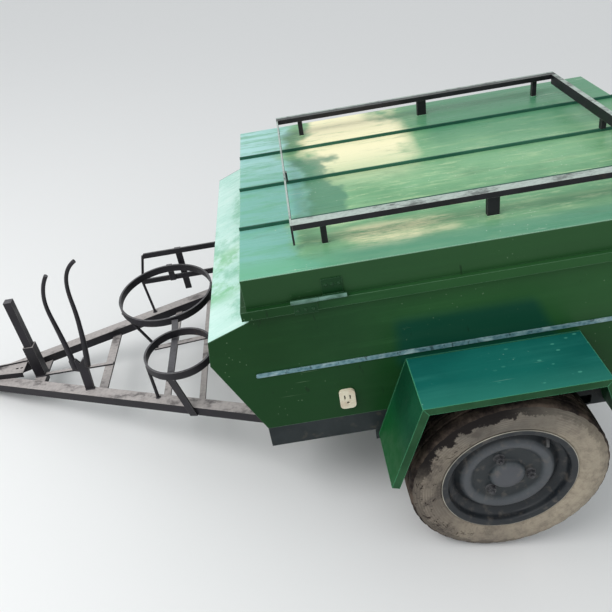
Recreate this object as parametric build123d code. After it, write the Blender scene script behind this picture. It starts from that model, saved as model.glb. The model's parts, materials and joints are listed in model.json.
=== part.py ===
"""Single-axle sheet-steel box trailer with a roof rack, two bottle hoops and an A-frame drawbar.

The trailer is drawn level, in millimetres: x runs rearward from the lid's front edge, y to the
trailer's right from its centre plane, and z up from level ground under the tyres. At the end
parking_place() pitches it nose down, as it stands with its coupling on the ground.
"""
import os
from math import asin, atan2, cos, degrees, hypot, radians, sin, sqrt

from build123d import *

# Wheels and axle
TYRE_RADIUS = 267.0
TYRE_WIDTH = 145.0
TREAD_WIDTH = 112.0
TREAD_SHOULDER_DROP = 14.0
TREAD_SHOULDER_INSET = 7.0
AXLE_X = 594.0
WHEEL_SIDE_GAP = 27.5
FLANGE_RADIUS = 182.0
RIM_WIDTH = 124.0
BEAD_RADIUS = 166.0
WELL_RADIUS = 143.0
WELL_HALF_WIDTH = 26.0
WHEEL_SHEET = 3.5
TYRE_BEAD_GAP = 0.3
DISC_OFFSET = 30.0
NUT_PLANE_RADIUS = 88.0
SHOULDER_RADIUS = 112.0
SHOULDER_RISE = 16.0
CAP_RADIUS = 50.0
CAP_RISE = 24.0
CAP_SHOULDER_RADIUS = 41.0
CAP_SHOULDER_RISE = 18.0
HUB_RADIUS = 33.0
HUB_FLANGE_RADIUS = 70.0
HUB_FLANGE_THICKNESS = 10.0
HUB_LENGTH = 78.0
STUB_RADIUS = 16.0
BEARING_GAP = 0.3
AXLE_TUBE_RADIUS = 25.0
AXLE_TUBE_WALL = 5.0
AXLE_PLUG_LENGTH = 40.0
AXLE_DROP = 101.0

# Chassis
CHASSIS_LEAD = 15.0
RAIL_DEPTH = 68.0
RAIL_WIDTH = 40.0
RAIL_WALL = 3.0
CROSSMEMBER_WIDTH = 40.0
MID_CROSSMEMBERS_X = (400.0, 800.0)

# Leaf springs
LEAF_THICKNESS = 6.0
LEAF_WIDTH = 45.0
LEAF_LENGTHS = (600.0, 460.0, 300.0)
SPRING_RISE = 26.0
SPRING_INSET = 8.0
EYE_RADIUS = 13.0
EYE_BORE = 6.0
HANGER_WIDTH = 44.0
HANGER_THICKNESS = 4.0

# Box body, sheet steel
LID_LENGTH = 1220.0
LID_WIDTH = 1000.0
LID_DEPTH = 79.5
LID_SEAT = 0.5
SHEET = 2.0
BOX_DEPTH = 389.0
RIM_OUT = 14.0
RIM_SKIRT = 25.0
RIM_THICKNESS = 3.0
RIM_LEDGE = 12.0
HEADER_HEIGHT = 35.0
NOSE_TOP_REACH = 110.0
NOSE_TOP_FALL = 42.0
NOSE_REACH = 120.0
NOSE_FACE_HEIGHT = 72.0
SEAM_WIDTH = 5.0
SEAM_HEIGHT = 9.0
SEAM_SPACING = 250.0
STRIP_HEIGHT = 12.0
STRIP_THICKNESS = 3.0
STRIP_DROP = 203.0

# Power socket on the left side
SOCKET_X = 208.0
SOCKET_DROP = 324.0
SOCKET_WIDTH = 42.0
SOCKET_HEIGHT = 62.0
SOCKET_DEPTH = 9.0
SOCKET_CORNER = 12.0
SOCKET_SLOT = (4.0, 15.0)   # width, height
SOCKET_SLOT_SPACING = 14.0
SOCKET_SLOT_RISE = 8.0
SOCKET_HOLE_RADIUS = 4.0
SOCKET_HOLE_DROP = 11.0

# Mudguards
GUARD_TOP_GAP = 64.0
GUARD_TOP_LENGTH = 448.0
GUARD_OVERHANG = 17.5
GUARD_LIP = 21.0
GUARD_FALL = 252.0
GUARD_FOOT_REACH = 90.0

# Drawbar
BEAM_WIDTH = 40.0
BEAM_HEIGHT = 30.0
BEAM_WALL = 3.0
BEAM_SPREAD = 370.0
BEAM_MEET = 930.0
BEAM_LENGTH = 975.0
CROSSBARS = ((208.0, 19.0), (321.0, 22.0), (539.0, 29.0))   # distance ahead of the chassis, width
CROSSBAR_THICKNESS = 7.0
STRAP_FRONT = (389.0, 35.0)   # distance ahead of the chassis, y
STRAP_REAR = (193.0, 54.0)
STRAP_WIDTH = 20.0
STRAP_THICKNESS = 5.0
BRACE_Y = -11.0
BRACE_WIDTH = 12.0
BRACE_THICKNESS = 6.0

# Coupling head
BALL_RADIUS = 25.0
BALL_GAP = 0.4
CUP_WALL = 5.6
CUP_AHEAD = 65.0
CUP_LIP_DROP = 14.0
BALL_DROP = 4.0
NECK_WIDTH = 42.0
NECK_WALL = 4.0
CHANNEL_WIDTH = 70.0
CHANNEL_HEIGHT = 20.0
CHANNEL_LIP = 6.0
CHANNEL_LAP = 156.0
CHANNEL_SLOT = (9.0, 6.0)
CHANNEL_SLOTS = (12.0, 27.0)   # distances from the channel's rear end
HANDLE_LENGTH = 90.0
HANDLE_WIDTH = 22.0
HANDLE_THICKNESS = 5.0
HANDLE_RISE = 14.0

# Prop leg and its sleeve
LEG_X = -788.0
LEG_SIZE = 25.0
LEG_WALL = 2.5
LEG_LENGTH = 329.0
LEG_SHOWS = 276.0
LEG_GAP = 0.6
SLEEVE_WALL = 4.0
SLEEVE_RISE = 100.0
SLEEVE_PLATE_LENGTH = 38.0

# Bottle hoops: centre x, centre y, outer radius, height of the top edge's centre over the beams,
# and the tilt in degrees that lifts the right side
HOOP_LARGE = (-320.8, 82.4, 156.0, 170.0, 3.7)
HOOP_SMALL = (-255.0, -230.0, 105.0, 150.0, 2.0)
HOOP_BAND = 25.0
HOOP_THICKNESS = 6.0
HOOP_ROD = 5.0
HOOP_BAR_WIDTH = 26.0
HOOP_BAR_THICKNESS = 5.0
LARGE_STRUT_TURN = 200.0
SMALL_ROD_TURN = 192.0
SMALL_BAR_TURN = 256.0
SMALL_BAR_LEAN = 34.0
LINK_SHIFT = -26.0
LINK_WIDTH = 20.0
LINK_THICKNESS = 5.0
WELD_GAP = 0.2
BORE_RELIEF = 1.0   # room left under a band's bore by what carries the band

# Guard frame beside the large hoop: height of each rail's top over the beams, reach ahead of the chassis
GUARD_RAILS = ((134.0, 416.0), (235.0, 388.0))
GUARD_RAIL_DEPTH = 19.0
GUARD_RAIL_THICKNESS = 6.0
GUARD_RAIL_CORNER = 6.0
GUARD_BRACKET_WIDTH = 20.0
GUARD_BRACKET_LAP = 1.0
GUARD_POST_X = -278.0
GUARD_POST_WIDTH = 22.0
GUARD_POST_LENGTH = 169.0
GUARD_ROD_RADIUS = 4.5
GUARD_ROD_FOOT = (403.0, 20.0)   # distance ahead of the chassis, distance in from the beam's outer face

# Forked carrier: two tapering tines in one upright plane on the left beam, x and z from the foot
FORK_FOOT_X = -583.0
FORK_PLATE_THICKNESS = 10.0
FORK_PLATE = (
    (-15.0, 0.0), (12.0, 0.0), (19.0, 76.0), (34.0, 122.0), (14.0, 122.0),
    (1.0, 106.0), (-8.0, 122.0), (-29.0, 122.0), (-29.0, 84.0), (-10.0, 76.0),
)
FORK_REAR = (
    (20.0, 90.0), (28.0, 128.0), (42.0, 217.0), (50.0, 300.0),
    (54.0, 368.0), (71.0, 423.0), (103.0, 455.0),
)
FORK_FRONT = (
    (-20.0, 90.0), (-19.0, 158.0), (-24.0, 270.0), (-24.0, 335.0), (-13.0, 381.0), (11.0, 424.0),
)
FORK_TINE_RADII = (9.0, 7.5, 6.0, 6.0)   # at even steps along a tine

# Hinges on the left side of the lid
HINGE_X = (174.0, 1046.0)
HINGE_OVER_RIM = 6.0
HINGE_BARREL_RADIUS = 6.0
HINGE_PIN_RADIUS = 3.5
HINGE_PIN_GAP = 0.25
HINGE_HALF = 67.0
HINGE_PART_GAP = 0.6
LEAF_PLATE_THICKNESS = 3.0
LOWER_LEAF = (-61.0, 56.0, 34.0)   # start along the hinge, length, height
UPPER_LEAF = (11.0, 49.0, 43.0)

# Lock tabs on the right side of the lid
TAB_WIDTH = 44.0
TAB_THICKNESS = 4.0
TAB_DROP = 42.0
TAB_GAP = 5.0
TAB_BORE = 6.0

# Roof rack
RACK_FRONT = 140.0
RACK_LENGTH = 935.0
RACK_WIDTH = 800.0
RACK_HEIGHT = 67.0
RACK_RAIL_WIDTH = 30.0
RACK_RAIL_HEIGHT = 15.0
RACK_POSTS = ((65.0, 15.0), (470.0, 30.0), (860.0, 15.0))   # distance from the rack's front, width
RACK_POST_DEPTH = 15.0
RACK_STRAP_THICKNESS = 5.0
RACK_STRAP_HEIGHT = 30.0
RACK_TAB_WIDTH = 12.0
RACK_TAB_HEIGHT = 24.0

# Tail lamps
LAMP_SIZE = (24.0, 130.0, 62.0)
LAMP_INSET = 40.0
LAMP_RISE = 70.0

# Heights and places that follow from the sizes above
AXLE_Z = TYRE_RADIUS
CHASSIS_BASE = AXLE_Z + AXLE_DROP
FLOOR_Z = CHASSIS_BASE + RAIL_DEPTH
RIM_BASE = FLOOR_Z + BOX_DEPTH
RIM_TOP = RIM_BASE + RIM_THICKNESS
LID_BASE = RIM_TOP + LID_SEAT
LID_TOP = LID_BASE + LID_DEPTH
HALF_WIDTH = LID_WIDTH / 2
TRACK = LID_WIDTH + TYRE_WIDTH + 2 * WHEEL_SIDE_GAP
GUARD_WIDTH = WHEEL_SIDE_GAP + TYRE_WIDTH + GUARD_OVERHANG
SIDE_INNER = HALF_WIDTH - SHEET
CHASSIS_FRONT = -CHASSIS_LEAD
BEAM_TOP = CHASSIS_BASE + BEAM_HEIGHT
BEAM_APEX_X = CHASSIS_FRONT - BEAM_MEET
BEAM_TIP_X = CHASSIS_FRONT - BEAM_LENGTH
BEAM_ANGLE = atan2(BEAM_SPREAD, BEAM_MEET)
BEAM_SPAN_Y = BEAM_WIDTH / cos(BEAM_ANGLE)
CROSSBAR_TOP = CHASSIS_BASE + CROSSBAR_THICKNESS
CUP_X = BEAM_TIP_X - CUP_AHEAD
BALL_Z = CHASSIS_BASE + BEAM_HEIGHT / 2 - BALL_DROP
CUP_LIP_Z = BALL_Z - CUP_LIP_DROP
CUP_RADIUS = BALL_RADIUS + BALL_GAP + CUP_WALL
HINGE_Y = -(HALF_WIDTH + RIM_OUT)
HINGE_Z = RIM_TOP + HINGE_OVER_RIM
HINGE_BORE = HINGE_PIN_RADIUS + HINGE_PIN_GAP
RACK_TOP = LID_TOP + RACK_HEIGHT
RACK_RAIL_Z = RACK_TOP - RACK_RAIL_HEIGHT
LEG_TOP = BEAM_TOP + LEG_SHOWS
LEG_BASE = LEG_TOP - LEG_LENGTH
FORK_FOOT_Y = -(BEAM_SPREAD * (FORK_FOOT_X - BEAM_APEX_X) / BEAM_MEET + FORK_PLATE_THICKNESS)

# The tub's outer line in x and z, from the rim down the nose, along the floor and up the rear
TUB_LINE = (
    (0.0, RIM_BASE),
    (0.0, RIM_BASE - HEADER_HEIGHT),
    (-NOSE_TOP_REACH, RIM_BASE - HEADER_HEIGHT - NOSE_TOP_FALL),
    (-NOSE_REACH, RIM_BASE - HEADER_HEIGHT - NOSE_TOP_FALL - NOSE_FACE_HEIGHT),
    (CHASSIS_FRONT, FLOOR_Z),
    (LID_LENGTH, FLOOR_Z),
    (LID_LENGTH, RIM_BASE),
)
GUARD_TOP = AXLE_Z + TYRE_RADIUS + GUARD_TOP_GAP
GUARD_LINE = (
    (AXLE_X - GUARD_TOP_LENGTH / 2 - GUARD_FOOT_REACH, GUARD_TOP - GUARD_FALL),
    (AXLE_X - GUARD_TOP_LENGTH / 2, GUARD_TOP),
    (AXLE_X + GUARD_TOP_LENGTH / 2, GUARD_TOP),
    (AXLE_X + GUARD_TOP_LENGTH / 2 + GUARD_FOOT_REACH, GUARD_TOP - GUARD_FALL),
)


def block(x0, x1, y0, y1, z0, z1):
    """Rectangular solid between pairs of coordinates."""
    return Pos((x0 + x1) / 2, (y0 + y1) / 2, (z0 + z1) / 2) * Box(x1 - x0, y1 - y0, z1 - z0)


def side_profile(points, y0, y1):
    """Solid with a closed outline in x and z, running from y0 to y1."""
    outline = Plane.XZ * make_face(Polyline(*points, close=True))
    return Pos(0, y1, 0) * extrude(outline, amount=y1 - y0)


def plan_profile(points, z0, z1):
    """Solid with a closed outline in x and y, standing from z0 to z1."""
    return Pos(0, 0, z0) * extrude(make_face(Polyline(*points, close=True)), amount=z1 - z0)


def bar_between(start, end, width, thickness, side, wall=0.0):
    """Straight bar or box section from start to end, with its width along the side direction."""
    run = Vector(*end) - Vector(*start)
    section = Plane(origin=start, x_dir=side, z_dir=run)
    shape = extrude(section * Rectangle(width, thickness), amount=run.length)
    if wall:
        shape -= extrude(section * Rectangle(width - 2 * wall, thickness - 2 * wall), amount=run.length)
    return shape


def rod_between(start, end, radius):
    """Round rod from start to end."""
    run = Vector(*end) - Vector(*start)
    return extrude(Plane(origin=start, z_dir=run) * Circle(radius), amount=run.length)


def footed_rod(foot, top, radius):
    """Leaning round rod whose foot is cut level at the foot point."""
    run = Vector(*top) - Vector(*foot)
    start = Vector(*foot) - run.normalized() * radius
    reach = run.length
    x, y, z = foot
    below = block(x - reach, x + reach, y - reach, y + reach, z - reach, z)
    return rod_between(start, top, radius) - below


def mirrored(shape):
    """The same piece on the other side of the trailer's centre plane."""
    return mirror(shape, about=Plane.XZ)


def inner_line(line, depth):
    """Points at the given depth to the left of an open line, mitred where it folds."""
    normals = []
    for (x0, z0), (x1, z1) in zip(line, line[1:]):
        length = hypot(x1 - x0, z1 - z0)
        normals.append((-(z1 - z0) / length, (x1 - x0) / length))
    points = []
    for index, (x, z) in enumerate(line):
        before = normals[max(index - 1, 0)]
        after = normals[min(index, len(normals) - 1)]
        share = depth / (1 + before[0] * after[0] + before[1] * after[1])
        points.append((x + share * (before[0] + after[0]), z + share * (before[1] + after[1])))
    return points


def folded_sheet(line, first, last, depth, y0, y1):
    """Sheet along the folds first to last of an outer line, with the given depth inside it."""
    inner = inner_line(line, depth)
    outline = list(line[first:last + 1]) + inner[first:last + 1][::-1]
    return side_profile(outline, y0, y1)


def beam_inner(x):
    """Distance from the centre plane to a drawbar beam's inner face."""
    return BEAM_SPREAD * (x - BEAM_APEX_X) / BEAM_MEET


def chassis_rail_right():
    """Box-section side rail under the floor's edge."""
    outer = block(CHASSIS_FRONT, LID_LENGTH, HALF_WIDTH - RAIL_WIDTH, HALF_WIDTH, CHASSIS_BASE, FLOOR_Z)
    hollow = block(
        CHASSIS_FRONT, LID_LENGTH,
        HALF_WIDTH - RAIL_WIDTH + RAIL_WALL, HALF_WIDTH - RAIL_WALL,
        CHASSIS_BASE + RAIL_WALL, FLOOR_Z - RAIL_WALL,
    )
    return outer - hollow


def crossmember(x0, width):
    """Box-section member between the side rails."""
    reach = HALF_WIDTH - RAIL_WIDTH
    outer = block(x0, x0 + width, -reach, reach, CHASSIS_BASE, FLOOR_Z)
    hollow = block(
        x0 + RAIL_WALL, x0 + width - RAIL_WALL, -reach, reach,
        CHASSIS_BASE + RAIL_WALL, FLOOR_Z - RAIL_WALL,
    )
    return outer - hollow


def drawbar_beam_right():
    """Box-section beam from the front crossmember to the mitre on the centre plane."""
    def section(margin):
        """Plan outline of the beam, drawn in from its faces by the margin."""
        step = margin / cos(BEAM_ANGLE)
        base = beam_inner(CHASSIS_FRONT)
        tip = beam_inner(BEAM_TIP_X)
        return (
            (CHASSIS_FRONT, base + step),
            (CHASSIS_FRONT, base + BEAM_SPAN_Y - step),
            (BEAM_TIP_X, tip + BEAM_SPAN_Y - step),
            (BEAM_TIP_X, tip + step),
        )
    outer = plan_profile(section(0), CHASSIS_BASE, BEAM_TOP)
    hollow = plan_profile(section(BEAM_WALL), CHASSIS_BASE + BEAM_WALL, BEAM_TOP - BEAM_WALL)
    right_half = block(BEAM_TIP_X, CHASSIS_FRONT, 0, LID_WIDTH, CHASSIS_BASE, BEAM_TOP)
    return (outer - hollow) & right_half


def flat_between_beams(x0, x1):
    """Flat bar across the drawbar, level with the beams' undersides and cut to their inner faces."""
    ends = (
        (x0, -beam_inner(x0)), (x1, -beam_inner(x1)),
        (x1, beam_inner(x1)), (x0, beam_inner(x0)),
    )
    return plan_profile(ends, CHASSIS_BASE, CROSSBAR_TOP)


def drawbar_crossbars():
    """Three flat bars between the beams."""
    bars = []
    for ahead, width in CROSSBARS:
        middle = CHASSIS_FRONT - ahead
        bars.append(flat_between_beams(middle - width / 2, middle + width / 2))
    return bars


def strap_point(end):
    """Middle of one end of the strap, at half its thickness."""
    ahead, y = end
    return CHASSIS_FRONT - ahead, y, CROSSBAR_TOP + STRAP_THICKNESS / 2


def bottle_strap():
    """Flat strap laid slightly askew on the rear and middle crossbars."""
    front, rear = strap_point(STRAP_FRONT), strap_point(STRAP_REAR)
    across = (front[1] - rear[1], rear[0] - front[0], 0)
    return bar_between(front, rear, STRAP_WIDTH, STRAP_THICKNESS, across)


def leg_brace():
    """Flat bar from the leg's sleeve, over the sleeve's plate, onto the front crossbar."""
    start = LEG_X + LEG_SIZE / 2 + LEG_GAP + SLEEVE_WALL
    ahead, width = CROSSBARS[-1]
    return block(
        start, CHASSIS_FRONT - ahead + width / 2, BRACE_Y - BRACE_WIDTH / 2, BRACE_Y + BRACE_WIDTH / 2,
        CROSSBAR_TOP, CROSSBAR_TOP + BRACE_THICKNESS,
    )


def neck_outline(front, rear, margin):
    """Plan of the coupling between two x values, drawn in from its sides by the margin."""
    def half(x):
        """Half width of the coupling at x."""
        if x < BEAM_TIP_X:
            ends = (CUP_X, CUP_RADIUS), (BEAM_TIP_X, NECK_WIDTH / 2)
        else:
            ends = (BEAM_TIP_X, NECK_WIDTH / 2), (BEAM_TIP_X + CHANNEL_LAP, CHANNEL_WIDTH / 2)
        (x0, half0), (x1, half1) = ends
        return half0 + (half1 - half0) * (x - x0) / (x1 - x0) - margin
    knots = [front] + [x for x in (BEAM_TIP_X,) if front < x < rear] + [rear]
    return [(x, -half(x)) for x in knots] + [(x, half(x)) for x in reversed(knots)]


def coupling_head():
    """Pressed coupling: a lipped channel on the beams' tips, a ball cup and a latch handle."""
    rear = BEAM_TIP_X + CHANNEL_LAP
    top = BEAM_TOP + CHANNEL_HEIGHT
    web_top = top - CHANNEL_LIP
    head = plan_profile(neck_outline(CUP_X, rear, 0), BEAM_TOP, top)
    head -= plan_profile(neck_outline(BEAM_TIP_X, rear, NECK_WALL), web_top, top)
    head -= plan_profile(neck_outline(BEAM_TIP_X, rear, NECK_WALL), BEAM_TOP, web_top - NECK_WALL)
    length, width = CHANNEL_SLOT
    for ahead in CHANNEL_SLOTS:
        x = rear - ahead
        head -= block(x - length / 2, x + length / 2, -width / 2, width / 2, BEAM_TOP, top)
    cheeks = plan_profile(neck_outline(CUP_X, BEAM_TIP_X, 0), CUP_LIP_Z, BEAM_TOP)
    cheeks -= plan_profile(neck_outline(CUP_X, BEAM_TIP_X - NECK_WALL, NECK_WALL), CUP_LIP_Z, BEAM_TOP)
    cup_height = top - CUP_LIP_Z
    cup = Pos(CUP_X, 0, CUP_LIP_Z + cup_height / 2) * Cylinder(CUP_RADIUS, cup_height)
    ball = Pos(CUP_X, 0, BALL_Z) * Sphere(BALL_RADIUS + BALL_GAP)
    mouth = Pos(CUP_X, 0, CUP_LIP_Z) * Cylinder(BALL_RADIUS + BALL_GAP, 2 * (BALL_Z - CUP_LIP_Z))
    handle_x = CUP_X + CUP_RADIUS / 2
    handle_z = top + HANDLE_RISE
    handle = block(
        handle_x, handle_x + HANDLE_LENGTH, -HANDLE_WIDTH / 2, HANDLE_WIDTH / 2,
        handle_z, handle_z + HANDLE_THICKNESS,
    )
    handle += block(
        handle_x, handle_x + HANDLE_WIDTH, -HANDLE_WIDTH / 2, HANDLE_WIDTH / 2,
        web_top, handle_z + HANDLE_THICKNESS,
    )
    return head + cheeks + cup + handle - ball - mouth


def leg_sleeve():
    """Square sleeve for the prop leg, on a plate between the beams."""
    bore = LEG_SIZE / 2 + LEG_GAP
    outside = bore + SLEEVE_WALL
    plate = flat_between_beams(LEG_X - SLEEVE_PLATE_LENGTH / 2, LEG_X + SLEEVE_PLATE_LENGTH / 2)
    sleeve = block(
        LEG_X - outside, LEG_X + outside, -outside, outside, CHASSIS_BASE, BEAM_TOP + SLEEVE_RISE,
    )
    hollow = block(LEG_X - bore, LEG_X + bore, -bore, bore, CHASSIS_BASE, BEAM_TOP + SLEEVE_RISE)
    return plate + sleeve - hollow


def prop_leg():
    """Square tube leg with a closed top and a foot plate inside its own outline."""
    half = LEG_SIZE / 2
    outer = block(LEG_X - half, LEG_X + half, -half, half, LEG_BASE, LEG_TOP)
    inside = half - LEG_WALL
    hollow = block(
        LEG_X - inside, LEG_X + inside, -inside, inside, LEG_BASE + LEG_WALL, LEG_TOP - LEG_WALL,
    )
    return outer - hollow


def axle_beam():
    """Axle tube with a plug at each end that carries the stub for the hub's bearings."""
    face = TRACK / 2 + DISC_OFFSET
    end = face - HUB_LENGTH - BEARING_GAP
    ring = Circle(AXLE_TUBE_RADIUS) - Circle(AXLE_TUBE_RADIUS - AXLE_TUBE_WALL)
    tube = extrude(Plane.XZ * ring, amount=end, both=True)
    plug = rod_between((0, end - AXLE_PLUG_LENGTH, 0), (0, end, 0), AXLE_TUBE_RADIUS)
    plug += rod_between((0, end, 0), (0, face, 0), STUB_RADIUS)
    return Pos(AXLE_X, 0, AXLE_Z) * (tube + plug + mirrored(plug))


def spring_y():
    """Middle of a spring's width."""
    return HALF_WIDTH - RAIL_WIDTH / 2 - SPRING_INSET


def spring_radius():
    """Radius of the main leaf's upper face."""
    half = LEAF_LENGTHS[0] / 2
    return (half ** 2 + SPRING_RISE ** 2) / (2 * SPRING_RISE)


def leaf_spring_right():
    """Stack of leaves on the axle tube, the main leaf ending in an eye each way."""
    seat = AXLE_Z + AXLE_TUBE_RADIUS
    pack = len(LEAF_LENGTHS) * LEAF_THICKNESS
    centre_z = seat + pack + spring_radius()
    y0 = spring_y() - LEAF_WIDTH / 2
    y1 = spring_y() + LEAF_WIDTH / 2
    spring = None
    for index, length in enumerate(LEAF_LENGTHS):
        upper = spring_radius() + index * LEAF_THICKNESS
        turn = degrees(asin(length / 2 / upper))
        arcs = [
            CenterArc((0, 0), radius, -90 - turn, 2 * turn)
            for radius in (upper, upper + LEAF_THICKNESS)
        ]
        ends = [Line(arcs[0] @ end, arcs[1] @ end) for end in (0, 1)]
        leaf = Pos(AXLE_X, y1, centre_z) * extrude(Plane.XZ * make_face(arcs + ends), amount=y1 - y0)
        spring = leaf if spring is None else spring + leaf
    for eye_x in spring_eyes():
        eye = Plane.XZ * (Circle(EYE_RADIUS) - Circle(EYE_BORE))
        spring += Pos(eye_x, y1, eye_z()) * extrude(eye, amount=y1 - y0)
    return spring


def spring_eyes():
    """Both eye centres along x."""
    reach = LEAF_LENGTHS[0] / 2
    return AXLE_X - reach, AXLE_X + reach


def eye_z():
    """Height of the spring's eyes: the main leaf's ends run into their lower side."""
    seat = AXLE_Z + AXLE_TUBE_RADIUS + len(LEAF_LENGTHS) * LEAF_THICKNESS
    return seat + SPRING_RISE + EYE_RADIUS - LEAF_THICKNESS


def spring_hangers():
    """Plate pairs with a bolt, under the side rails, that hold the springs' eyes."""
    hangers = []
    for side in (-1, 1):
        for eye_x in spring_eyes():
            hanger = None
            for face in (-1, 1):
                y0 = side * spring_y() + face * (LEAF_WIDTH / 2 + HANGER_THICKNESS / 2 + BEARING_GAP)
                plate = block(
                    eye_x - HANGER_WIDTH / 2, eye_x + HANGER_WIDTH / 2,
                    y0 - HANGER_THICKNESS / 2, y0 + HANGER_THICKNESS / 2,
                    eye_z() - EYE_RADIUS, CHASSIS_BASE,
                )
                hanger = plate if hanger is None else hanger + plate
            reach = LEAF_WIDTH / 2 + HANGER_THICKNESS
            bolt = extrude(Plane.XZ * Circle(EYE_BORE), amount=reach, both=True)
            hanger += Pos(eye_x, side * spring_y(), eye_z()) * bolt
            hangers.append(hanger)
    return hangers


def hub_right():
    """Hub that turns on the stub, with the flange that the wheel bolts to."""
    face = TRACK / 2 + DISC_OFFSET
    barrel = (
        (STUB_RADIUS + BEARING_GAP, face - HUB_LENGTH),
        (HUB_RADIUS, face - HUB_LENGTH),
        (HUB_RADIUS, face - HUB_FLANGE_THICKNESS),
        (HUB_FLANGE_RADIUS, face - HUB_FLANGE_THICKNESS),
        (HUB_FLANGE_RADIUS, face),
        (STUB_RADIUS + BEARING_GAP, face),
    )
    return turned_about_axle(barrel)


def turned_about_axle(profile):
    """Revolve an outline given as radius and y about the axle's line."""
    face = Plane.YZ * make_face(Polyline(*[(y, radius) for radius, y in profile], close=True))
    return Pos(AXLE_X, 0, AXLE_Z) * revolve(face, axis=Axis.Y)


def wheel_disc_right():
    """Pressed wheel: rim with a drop centre, and a dished disc with a domed centre cap."""
    middle = TRACK / 2
    half = RIM_WIDTH / 2
    lip = WHEEL_SHEET
    seat = half - (FLANGE_RADIUS - BEAD_RADIUS) / 2
    slope = BEAD_RADIUS - WELL_RADIUS
    outer = [
        (FLANGE_RADIUS, middle - half), (FLANGE_RADIUS, middle - half + lip),
        (BEAD_RADIUS, middle - half + lip), (BEAD_RADIUS, middle - seat + lip),
        (BEAD_RADIUS - lip, middle - WELL_HALF_WIDTH - slope / 2),
        (WELL_RADIUS, middle - WELL_HALF_WIDTH), (WELL_RADIUS, middle + WELL_HALF_WIDTH),
        (BEAD_RADIUS - lip, middle + WELL_HALF_WIDTH + slope / 2),
        (BEAD_RADIUS, middle + seat - lip), (BEAD_RADIUS, middle + half - lip),
        (FLANGE_RADIUS, middle + half - lip), (FLANGE_RADIUS, middle + half),
    ]
    inner = [
        (BEAD_RADIUS - lip, middle + half), (BEAD_RADIUS - 2 * lip, middle + WELL_HALF_WIDTH + slope / 2),
        (WELL_RADIUS - lip, middle + WELL_HALF_WIDTH), (WELL_RADIUS - lip, middle - WELL_HALF_WIDTH),
        (BEAD_RADIUS - 2 * lip, middle - WELL_HALF_WIDTH - slope / 2), (BEAD_RADIUS - lip, middle - half),
    ]
    rim = turned_about_axle(outer + inner)
    face = middle + DISC_OFFSET
    shoulder = face + SHOULDER_RISE
    edge = middle + WELL_HALF_WIDTH
    disc_outer = [
        (0.0, face + CAP_RISE), (CAP_SHOULDER_RADIUS, face + CAP_SHOULDER_RISE),
        (CAP_RADIUS, face + lip), (NUT_PLANE_RADIUS, face + lip),
        (NUT_PLANE_RADIUS + SHOULDER_RISE / 2, shoulder),
        (SHOULDER_RADIUS, shoulder), (WELL_RADIUS - lip, edge),
    ]
    disc_inner = [
        (WELL_RADIUS - lip, edge - 2 * lip), (SHOULDER_RADIUS - lip, shoulder - lip),
        (NUT_PLANE_RADIUS + SHOULDER_RISE / 2, shoulder - lip), (NUT_PLANE_RADIUS, face),
        (HUB_FLANGE_RADIUS, face), (CAP_RADIUS, face),
        (CAP_SHOULDER_RADIUS, face + CAP_SHOULDER_RISE - lip), (0.0, face + CAP_RISE - lip),
    ]
    return rim + turned_about_axle(disc_outer + disc_inner)


def tyre_right():
    """Tyre seated on the rim's bead seats, with shoulders to a flat tread."""
    middle = TRACK / 2
    half = TYRE_WIDTH / 2
    bead = RIM_WIDTH / 2 - WHEEL_SHEET - TYRE_BEAD_GAP
    seat = BEAD_RADIUS + TYRE_BEAD_GAP
    belly = (BEAD_RADIUS + TYRE_RADIUS) / 2
    tread = TREAD_WIDTH / 2
    shoulder = TYRE_RADIUS - TREAD_SHOULDER_DROP
    edge = half - TREAD_SHOULDER_INSET
    profile = [
        (seat, middle - bead), (FLANGE_RADIUS, middle - bead), (belly, middle - half),
        (shoulder, middle - edge), (TYRE_RADIUS, middle - tread), (TYRE_RADIUS, middle + tread),
        (shoulder, middle + edge), (belly, middle + half), (FLANGE_RADIUS, middle + bead),
        (seat, middle + bead),
    ]
    return turned_about_axle(profile)


def side_panel_right():
    """Side sheet with the prow outline, its outer face flush with the chassis rail."""
    return side_profile(TUB_LINE, SIDE_INNER, HALF_WIDTH)


def tub_sheet(first, last):
    """Sheet between the side panels, along folds first to last of the tub's line."""
    return folded_sheet(TUB_LINE, first, last, SHEET, -SIDE_INNER, SIDE_INNER)


def rim_section(face, out):
    """Flange over the wall's top edge and a skirt hung from its outer edge."""
    return (
        (face - RIM_LEDGE, RIM_BASE), (face + out - RIM_THICKNESS, RIM_BASE),
        (face + out - RIM_THICKNESS, RIM_TOP - RIM_SKIRT), (face + out, RIM_TOP - RIM_SKIRT),
        (face + out, RIM_TOP), (face - RIM_LEDGE, RIM_TOP),
    )


def rim_sides():
    """Rim angles along both sides of the box."""
    section = Plane.YZ * make_face(Polyline(*rim_section(HALF_WIDTH, RIM_OUT), close=True))
    right = Pos(-RIM_OUT, 0, 0) * extrude(section, amount=LID_LENGTH + 2 * RIM_OUT)
    return [mirrored(right), right]


def rim_ends():
    """Rim angles across the front and the rear, fitted between the side angles' skirts."""
    reach = HALF_WIDTH - RIM_LEDGE
    rear = side_profile(rim_section(LID_LENGTH, RIM_OUT), -reach, reach)
    front = Pos(LID_LENGTH, 0, 0) * mirror(rear, about=Plane.YZ)
    skirt_reach = HALF_WIDTH + RIM_OUT - RIM_THICKNESS
    ends = []
    for x0, shape in ((-RIM_OUT, front), (LID_LENGTH + RIM_OUT - RIM_THICKNESS, rear)):
        skirt = block(
            x0, x0 + RIM_THICKNESS, -skirt_reach, skirt_reach, RIM_TOP - RIM_SKIRT, RIM_BASE,
        )
        ends.append(shape + skirt)
    return ends


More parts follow.
